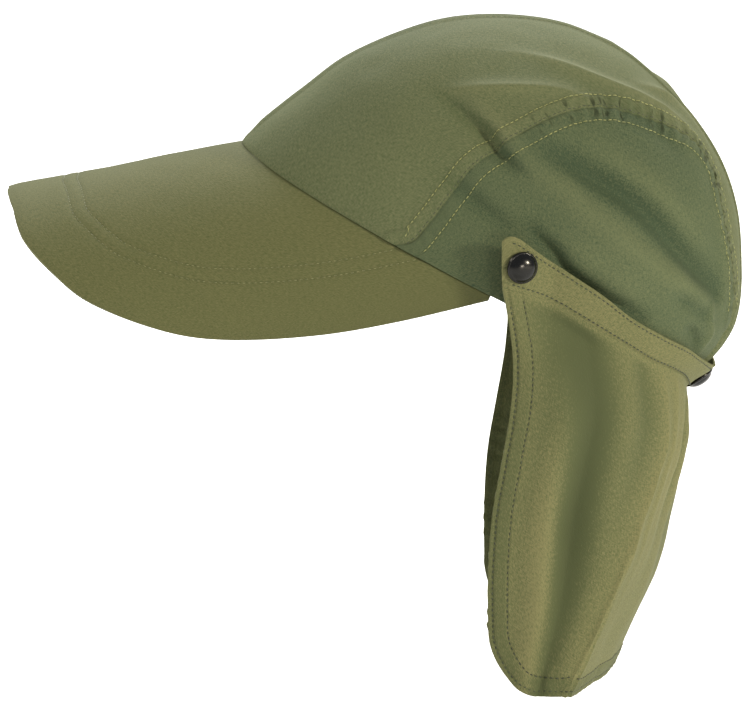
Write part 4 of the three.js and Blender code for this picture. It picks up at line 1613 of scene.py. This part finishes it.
class Crown:
    """The crown: two top panels, two side panels, the back band and their seams."""

    wall = 1.2 * MM
    top_faces = (230, 92)
    side_faces = (230, 76)
    band_faces = (90, 24)
    crowding = 1.35
    row_step = 0.002
    row_end = 0.985
    middle_rows = 3.6 * MM
    seam_stitches = 0.9 * MM

    def __init__(self, form: CrownForm, finishes: Finishes) -> None:
        """Keep the shape and the finishes.

        Args:
            form: The crown's shape.
            finishes: Materials of the cap.
        """
        self.form = form
        self.finishes = finishes

    def marks(self, points: Array, along: Array, across: Array) -> dict[str, Array]:
        """Distances that the cloth's material reads.

        Args:
            points: Points of the cloth.
            along: Their first shares, which the crown doesn't need.
            across: Their second shares, which the crown doesn't need.

        Returns:
            Distances from the nearest seam and sewn row, the folds' depth, the length
            along the side seam and how strongly it is drawn in.
        """
        left = points * np.where(points[:, :1] < 0, -1.0, 1.0) ** np.array([1, 2, 2])
        side, travelled, _, _ = self.form.seam.nearest(left)
        low = self.form.band_seam.nearest(left)[0]
        middle = lerp(0.02, left[:, 0], smoothstep(low, 0.0, 3 * MM))
        pull = self.form.pucker_strength(travelled / self.form.seam.length)
        beside = bell(side - self.form.pucker_from_seam, self.form.pucker_from_seam)
        # The material paints shade along the seams, rows and puckers and in fold valleys, and light on fold
        # ridges, from these marks.
        return {
            "seam_mm": np.min([side, middle, low], axis=0),
            "row_mm": np.minimum(np.abs(side - self.form.seam_band), np.abs(middle - self.middle_rows)),
            "fold_mm": self.form.fold_depth(left),
            "run_mm": travelled,
            "pucker_mm": pull * beside * MM,
        }

    def crowd(self, along: Array, across: Array) -> tuple[Array, Array]:
        """Shares with their rows crowded towards the side seam."""
        return along, 1 - (1 - across) ** self.crowding

    def panel(self, place: Places, side: float) -> Surface:
        """Outer face of a panel.

        Args:
            place: Gives the disc places of the panel's left half.
            side: 1 for the left panel and -1 for the right one.

        Returns:
            Surface of two shares.
        """
        def surface(along: Array, across: Array) -> Array:
            """Points of the panel."""
            right, ahead = place(along, across)
            return self.form.surface(right * side, ahead)
        return surface

    def build(self) -> None:
        """Build and dress the crown's pieces, and sew them."""
        maker = ClothMaker()
        # The side panels wear the darker cloth that is painted shade.
        parts = (("top", self.form.top_place, self.top_faces, self.finishes.crown),
                 ("side", self.form.side_place, self.side_faces, self.finishes.side))
        for side, name in ((1.0, "left"), (-1.0, "right")):
            for part, place, faces, finish in parts:
                cut = ClothCut(*faces, self.wall)
                surface = self.panel(place, side)
                piece = maker.make(f"crown_{part}_{name}", surface, cut, self.marks, self.crowd)
                finish_piece(piece, finish, [f"{part}_panel_{name}"])
        band = self.panel(self.form.band_place, 1.0)
        piece = maker.make("crown_back_band", band, ClothCut(*self.band_faces, self.wall), self.marks)
        finish_piece(piece, self.finishes.crown, ["back_band"])
        self.sew()

    def seam_row(self, shift: float, last: float = 0.99) -> Row:
        """A row beside the left side seam, carried straight on to the rim.

        Args:
            shift: Distance from the seam, over zero towards the top panel.
            last: Share of the seam's length where the row ends.

        Returns:
            Points and normals.
        """
        place = self.form.seam_edge(np.linspace(0.03, last, 260), shift)
        lead = place[0] + (place[0] - place[10]) * np.linspace(1.2, 0.1, 8)[:, None]
        place = np.vstack([lead, place])
        place = place[np.hypot(*place.T) < self.row_end]
        return row_on(self.form.surface, place[:, 0], place[:, 1], self.row_step, HEAD_MIDDLE)

    def middle_row(self) -> Row:
        """The row to the left of the middle seam."""
        ahead = np.linspace(self.row_end, -0.8, 300)
        right = np.full_like(ahead, self.middle_rows / self.form.rim.half_width)
        level = self.form.bare(right, ahead)[0]
        right = right * self.middle_rows / np.maximum(level, self.middle_rows * 0.2)
        return row_on(self.form.surface, right, ahead, self.row_step, HEAD_MIDDLE)

    def sew(self) -> None:
        """Sew the crown's rows: pale by the side seams, dull by the middle seam, and dark in the side seams,
        where the darker thread is painted shade.
        """
        band, threads = self.form.seam_band, self.finishes
        beside = [self.seam_row(band), self.seam_row(-band)]
        within = [self.seam_row(self.seam_stitches, 0.98)]
        kinds = (
            ("side", Stitching(), beside, 11, threads.thread),
            ("middle", Stitching(lift=-0.05 * MM), [self.middle_row()], 13, threads.dull_thread),
            ("seam", Stitching(lift=0.0), within, 12, threads.dark_thread),
        )
        for name, stitching, rows, seed, thread in kinds:
            both = rows + [mirrored_row(row) for row in rows]
            stitching.sew(f"crown_{name}_stitching", both, seed, thread)


class Peak:
    """The peak: a stiff board covered with cloth, sewn through in two rows."""

    faces = (210, 88)
    edge_round = 1.1 * MM
    row_step = 0.002
    beneath = np.array([0.0, -0.05, -0.4])

    def __init__(self, form: PeakForm, finishes: Finishes) -> None:
        """Keep the shape and the finishes.

        Args:
            form: The peak's shape.
            finishes: Materials of the cap.
        """
        self.form = form
        self.finishes = finishes

    def marks(self, points: Array, along: Array, across: Array) -> dict[str, Array]:
        """Distances that the cloth's material reads.

        Args:
            points: Points of the cloth.
            along: Their shares along the peak, which it doesn't need.
            across: Their shares from the seam to the edge.

        Returns:
            Distances from the seam with the crown and from the nearest sewn row.
        """
        edge = self.form.edge.nearest(points)[0]
        rows = np.min([np.abs(edge - row) for row in self.form.row_from_edge], axis=0)
        seam = np.maximum(across, 0.0) * self.form.length
        return {"seam_mm": seam, "row_mm": rows, "fold_mm": np.zeros(len(points))}

    def tuck(self, along: Array, across: Array) -> tuple[Array, Array]:
        """Shares that start under zero, where the peak is tucked under the crown."""
        return along, across * (1 + self.form.tuck_part) - self.form.tuck_part

    def sewn_row(self, from_edge: float) -> Row:
        """A row at a distance from the outer edge.

        Args:
            from_edge: Distance from the edge.

        Returns:
            Points and normals, from temple to temple.
        """
        along = np.linspace(0.1, 0.9, 240)
        across = np.linspace(0.0, 1.0, 120)
        grid = np.meshgrid(along, across, indexing="ij")
        away = self.form.edge.nearest(self.form.plain(*grid).reshape(-1, 3))[0].reshape(grid[0].shape)
        kept, places = [], []
        for column, distances in zip(along, away):
            if distances[0] > from_edge:
                kept.append(column)
                places.append(np.interp(-from_edge, -distances, across))
        first, second = np.array(kept), np.clip(np.array(places), 0.004, 0.996)
        return row_on(self.form.surface, first, second, self.row_step, self.beneath)

    def build(self) -> None:
        """Build, dress and sew the peak."""
        cut = ClothCut(*self.faces, self.form.wall, edge_round=self.edge_round)
        piece = ClothMaker().make("peak_cover", self.form.surface, cut, self.marks, self.tuck)
        finish_piece(piece, self.finishes.peak, ["peak"])
        rows = [self.sewn_row(distance) for distance in self.form.row_from_edge]
        Stitching(lift=0.02 * MM).sew("peak_stitching", rows, 21, self.finishes.dull_thread)


class NeckFlap:
    """The neck flap with its band, hem and rows of stitches."""

    wall = 1.2 * MM
    faces = (236, 132)
    edge_round = 0.4 * MM
    step = 1.5e-3
    inside = np.array([0.0, 0.0, -0.1])
    hem_inside = np.array([0.0, 0.02, -0.1])
    edge_row = 2.0 * MM
    row_groove = (0.3 * MM, 0.9 * MM)
    edge_groove = (0.3 * MM, 0.8 * MM)
    hem_raise = 0.45 * MM
    hem_shade = 1.3 * MM
    pucker_pitch = 8.3 * MM
    pucker_height = 0.2 * MM
    swells = ((0.75 * MM, 38 * MM, 4.9), (0.2 * MM, 14 * MM, 8.8))
    band_rows = (0.12, 0.9)

    def __init__(self, form: FlapForm, finishes: Finishes) -> None:
        """Keep the shape and the finishes, and measure the border.

        Args:
            form: The flap's shape.
            finishes: Materials of the cap.
        """
        self.form = form
        self.finishes = finishes
        self.border = form.border()

    def surface(self, along: Array, across: Array) -> Array:
        """Points of the finished outer face, with hems and puckers."""
        along, across = np.broadcast_arrays(along, across)
        plain = self.form.plain(along, across).reshape(-1, 3)
        held = np.clip(along, 0.002, 0.998), np.clip(across, 0.003, 0.997)
        normal = normals_of(self.form.plain, *held, self.step).reshape(-1, 3)
        normal = facing(normal, (plain - self.inside) * FLAT_PLAN)
        distance, travelled, _, _ = self.border.nearest(plain)
        down = across.ravel()
        hanging = smoothstep(down, self.form.band_part, self.form.band_part + 0.03)
        hem = self.hem_raise * (1 - smoothstep(distance, self.form.hem - 0.2 * MM, self.form.hem + 1.6 * MM))
        grooves = groove(distance - self.form.hem, self.row_groove)
        grooves = grooves + groove(distance - self.edge_row, self.edge_groove)
        phase = 2 * math.pi * travelled / self.pucker_pitch + 3.5 * unevenness(plain, 24 * MM, 7.7)
        puckers = self.pucker_height * np.cos(phase) * bell(distance - 5 * MM, 6 * MM)
        swell = swelling(plain, self.swells) * smoothstep(down, 0.1, 0.3)
        push = (hem + grooves + puckers) * hanging + swell
        return (plain + normal * push[:, None]).reshape(*along.shape, 3)

    def marks(self, points: Array, along: Array, across: Array) -> dict[str, Array]:
        """Distances that the cloth's material reads.

        Args:
            points: Points of the cloth.
            along: Their shares from one front edge to the other.
            across: Their shares from the band's upper edge to the hem.

        Returns:
            Distances from the band's lower edge and from the nearest sewn row, and the folds' depth.
        """
        distance = self.border.nearest(points)[0]
        rows = np.minimum(np.abs(distance - self.form.hem), np.abs(distance - self.edge_row))
        down = self.form.way_down(across)
        folds = self.form.fold_push(self.form.share_of(along), down, along < 0.5)
        folds = folds * smoothstep(down, 0.0, 0.04)
        in_hem = 1 - smoothstep(distance, self.form.hem - 1 * MM, self.form.hem)
        folds = folds - self.hem_shade * in_hem * smoothstep(down, 0.05, 0.5)
        # The material darkens the cloth just below the band's lower edge: painted shade under the band.
        below_band = np.where(across < self.form.band_part, 9 * MM, down * self.form.drop)
        return {"seam_mm": below_band, "row_mm": rows, "fold_mm": folds}

    def band_row(self, part: float) -> Row:
        """A row along the band, at a share of its height."""
        along = np.linspace(0.012, 0.988, 420)
        across = np.full_like(along, part * self.form.band_part)
        return row_on(self.surface, along, across, self.step, HEAD_MIDDLE)

    def hem_row(self, inset: float) -> Row:
        """A row along the border, at a distance inside it.

        Args:
            inset: Distance from the border.

        Returns:
            Points and normals, from one front edge round to the other.
        """
        travel = np.linspace(0.004, self.border.length - 0.004, 520)
        down = np.linspace(self.form.band_part, 1.0, 160)
        grid = np.meshgrid(np.linspace(0.0, 1.0, 241), down, indexing="ij")
        points = self.form.plain(*grid).reshape(-1, 3)
        distance, travelled, _, _ = self.border.nearest(points)
        near = np.abs(distance - inset) < 0.9 * MM
        first, second = grid[0].ravel()[near], grid[1].ravel()[near]
        order = np.argsort(travelled[near])
        stations = travelled[near][order]
        along = np.interp(travel, stations, self.running_mean(first[order]))
        across = np.interp(travel, stations, self.running_mean(second[order]))
        keep = slice(3, len(travel) - 3)
        return row_on(self.surface, along[keep], across[keep], self.step, self.hem_inside)

    @staticmethod
    def running_mean(values: Array, width: int = 15) -> Array:
        """Mean of each value and its neighbours."""
        padded = np.pad(values, width // 2, mode="edge")
        return np.convolve(padded, np.ones(width) / width, mode="valid")

    def build(self) -> None:
        cut = ClothCut(*self.faces, self.wall, edge_round=self.edge_round)
        cloth = ClothMaker().make("neck_flap_cloth", self.surface, cut, self.marks)
        finish_piece(cloth, self.finishes.flap, ["neck_flap", "flap_band"])
        rows = [self.band_row(part) for part in self.band_rows]
        rows += [self.hem_row(self.edge_row), self.hem_row(self.form.hem)]
        # The flap's stitches take the darker thread, as painted shade along its rows.
        stitching = Stitching(thread=0.55 * MM, lift=0.06 * MM)
        sewn = stitching.sew("flap_stitching", rows, 31, self.finishes.dark_thread)


# Outline of a stud cap from its skirt to its top: share of the radius, share of the height.
CAP_PROFILE = (
    (0.86, -0.15), (0.97, -0.1), (1.0, 0.06), (0.985, 0.2), (0.93, 0.3), (0.9, 0.28),
    (0.87, 0.33), (0.8, 0.5), (0.66, 0.72), (0.48, 0.88), (0.28, 0.97), (0.1, 1.0),
)


@dataclass(frozen=True)
class PressStuds:
    """Press studs: an enamelled cap outside the band, and a plain stud behind it."""

    form: FlapForm
    finishes: Finishes
    diameter: float = 13.5 * MM
    height: float = 3.6 * MM
    clearance: float = 0.6 * MM
    from_edge: float = 5.6 * MM

    def spot(self, share: float, across: float, thickness: float) -> Vector:
        """Point of the band, from two shares and its distance from the inner face."""
        return Vector(self.form.band_point(np.array(share), np.array(across), np.array(thickness)))

    def seat(self, share: float) -> tuple[Vector, Vector]:
        """Where a cap sits on the band, and the way that it looks.

        Args:
            share: Share of the flap's half length.

        Returns:
            Point on the band's outer face, and a unit direction.
        """
        wall = self.form.band_wall
        outer = self.spot(share, 0.5, wall)
        off = outer - self.spot(share, 0.5, 0.0)
        down = self.spot(share, 0.7, wall) - self.spot(share, 0.3, wall)
        ahead = self.spot(share + 0.02, 0.5, wall) - self.spot(max(share - 0.02, 0.0), 0.5, wall)
        level = ahead if share > 0 else Vector((1.0, 0.0, 0.0))
        direction = down.cross(level).normalized()
        return outer, direction if direction.dot(off) > 0 else -direction

    def cap(self, name: str) -> bpy.types.Object:
        """Model a cap: a skirt, a rolled shoulder and a low dome.

        Args:
            name: Name of the piece.

        Returns:
            The cap, on the origin and looking up.
        """
        start, level = CAP_PROFILE[0]
        deselect_all()
        bpy.ops.mesh.primitive_circle_add(vertices=40, radius=self.diameter / 2 * start, fill_type="NGON")
        piece = bpy.context.object
        piece.name = name
        piece.data.name = name
        bpy.ops.object.mode_set(mode="EDIT")
        bpy.ops.mesh.select_all(action="SELECT")
        bpy.ops.transform.translate(value=(0, 0, level * self.height))
        for (before, low), (after, high) in zip(CAP_PROFILE, CAP_PROFILE[1:]):
            rise = (0, 0, (high - low) * self.height)
            bpy.ops.mesh.extrude_region_move(TRANSFORM_OT_translate={"value": rise})
            bpy.ops.transform.resize(value=(after / before, after / before, 1.0))
        bpy.ops.mesh.select_all(action="SELECT")
        bpy.ops.mesh.normals_make_consistent(inside=False)
        bpy.ops.object.mode_set(mode="OBJECT")
        round_it = piece.modifiers.new("round", "SUBSURF")
        round_it.levels = 2
        round_it.render_levels = 2
        apply_modifiers(piece)
        bpy.ops.object.shade_smooth()
        return piece

    def build(self) -> None:
        """Build the three caps and dress the studs behind them."""
        front = 1 - self.from_edge / self.form.half_length
        for name, share, side in (("left", front, 1.0), ("right", front, -1.0), ("rear", 0.0, 1.0)):
            outer, direction = self.seat(share)
            outer.x *= side
            direction.x *= side
            turn = Vector((0.0, 0.0, 1.0)).rotation_difference(direction).to_matrix().to_4x4()
            piece = self.cap(f"stud_cap_{name}")
            piece.data.transform(Matrix.Translation(outer + direction * self.clearance) @ turn)
            finish_piece(piece, self.finishes.cap, [f"snap_cap_{name}"])
            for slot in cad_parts[f"snap_stud_{name}"].material_slots:
                slot.material = self.finishes.stud


@dataclass(frozen=True)
class Studio:
    """Camera, lights and floor."""

    lens_mm: float = 500.0
    sensor_mm: float = 36.0
    view_width: float = 312.5 * MM
    elevation: float = math.radians(9.5)
    target: tuple[float, float, float] = (0.0, -38.96 * MM, -41.6 * MM)
    floor_level: float = -0.235

    def build_camera(self) -> None:
        """Place a long lens on the wearer's left, a little above the brim."""
        data = bpy.data.cameras.new("camera")
        data.lens = self.lens_mm
        data.sensor_width = self.sensor_mm
        data.clip_start = 0.05
        data.clip_end = 60.0
        data.dof.use_dof = False
        camera = bpy.data.objects.new("camera", data)
        bpy.context.scene.collection.objects.link(camera)
        away = Vector((math.cos(self.elevation), 0.0, math.sin(self.elevation)))
        distance = self.lens_mm / self.sensor_mm * self.view_width
        camera.location = Vector(self.target) + away * distance
        camera.rotation_mode = "QUATERNION"
        camera.rotation_quaternion = (-away).to_track_quat("-Z", "Y")
        bpy.context.scene.camera = camera

    def add_light(self, name: str, place: tuple[float, float, float], size: float, power: float, tint: str,
                  aim: tuple[float, float, float]) -> None:
        """Add a soft square light.

        Args:
            name: Name of the light.
            place: Where it stands.
            size: Length of its side.
            power: Power in watts.
            tint: Colour as sRGB hex.
            aim: Point that it looks at.
        """
        data = bpy.data.lights.new(name, "AREA")
        data.shape = "SQUARE"
        data.size = size
        data.energy = power
        data.color = colour(tint)[:3]
        lamp = bpy.data.objects.new(name, data)
        bpy.context.scene.collection.objects.link(lamp)
        lamp.location = place
        lamp.rotation_mode = "QUATERNION"
        lamp.rotation_quaternion = (Vector(aim) - Vector(place)).to_track_quat("-Z", "Y")
        lamp.visible_camera = False

    def build_floor(self) -> None:
        """Lay a wide pale floor with a softly mottled paint."""
        deselect_all()
        bpy.ops.mesh.primitive_circle_add(vertices=96, radius=14.0, fill_type="NGON")
        floor = bpy.context.object
        floor.name = "floor"
        floor.data.transform(Matrix.Translation((0, 0, self.floor_level)))
        material, tree, shader = new_material("pale_floor_paint")
        place = add_node(tree, "ShaderNodeTexCoord", {}).outputs["Object"]
        mottle = add_node(tree, "ShaderNodeTexNoise", {"Vector": place, "Scale": 3.0}).outputs[0]
        tone = add_node(tree, "ShaderNodeMix", {
            0: mottle, 6: colour("f7f7f5"), 7: colour("fbfbfa")}, data_type="RGBA")
        tree.links.new(tone.outputs[2], shader.inputs["Base Color"])
        shader.inputs["Roughness"].default_value = 0.9
        floor.data.materials.append(material)

    def build(self) -> None:
        """Set up the studio."""
        self.build_camera()
        self.build_floor()
        middle = (0.0, 0.0, -0.03)
        behind = (-1.5, 0.0, self.floor_level)
        self.add_light("rear_key", (1.4, 2.0, 0.6), 0.4, 45.0, "fff2d8", middle)
        self.add_light("front_key", (0.5, -1.7, 1.5), 0.6, 27.0, "fff4dc", middle)
        self.add_light("side_fill", (2.4, 1.3, -0.2), 0.5, 19.0, "fff2dc", middle)
        self.add_light("floor_light", (-1.5, 0.0, 1.3), 1.6, 60.0, "ffffff", behind)
        world = bpy.data.worlds.new("studio")
        world.use_nodes = True
        background = world.node_tree.nodes["Background"]
        background.inputs["Color"].default_value = colour("ffffff")
        background.inputs["Strength"].default_value = 0.3
        bpy.context.scene.world = world
        bpy.context.scene.view_settings.view_transform = "Standard"


def main() -> None:
    """Build the studio and the cap's sub-assemblies in order."""
    logging.basicConfig(level=logging.INFO, format="%(name)s %(message)s")
    Studio().build()
    rim = HeadRim()
    crown = CrownForm(rim)
    peak = PeakForm(rim)
    flap = FlapForm(crown)
    finishes = Finishes.build()
    Crown(crown, finishes).build()
    Peak(peak, finishes).build()
    NeckFlap(flap, finishes).build()
    PressStuds(flap, finishes).build()


if __name__ == "__main__":
    main()
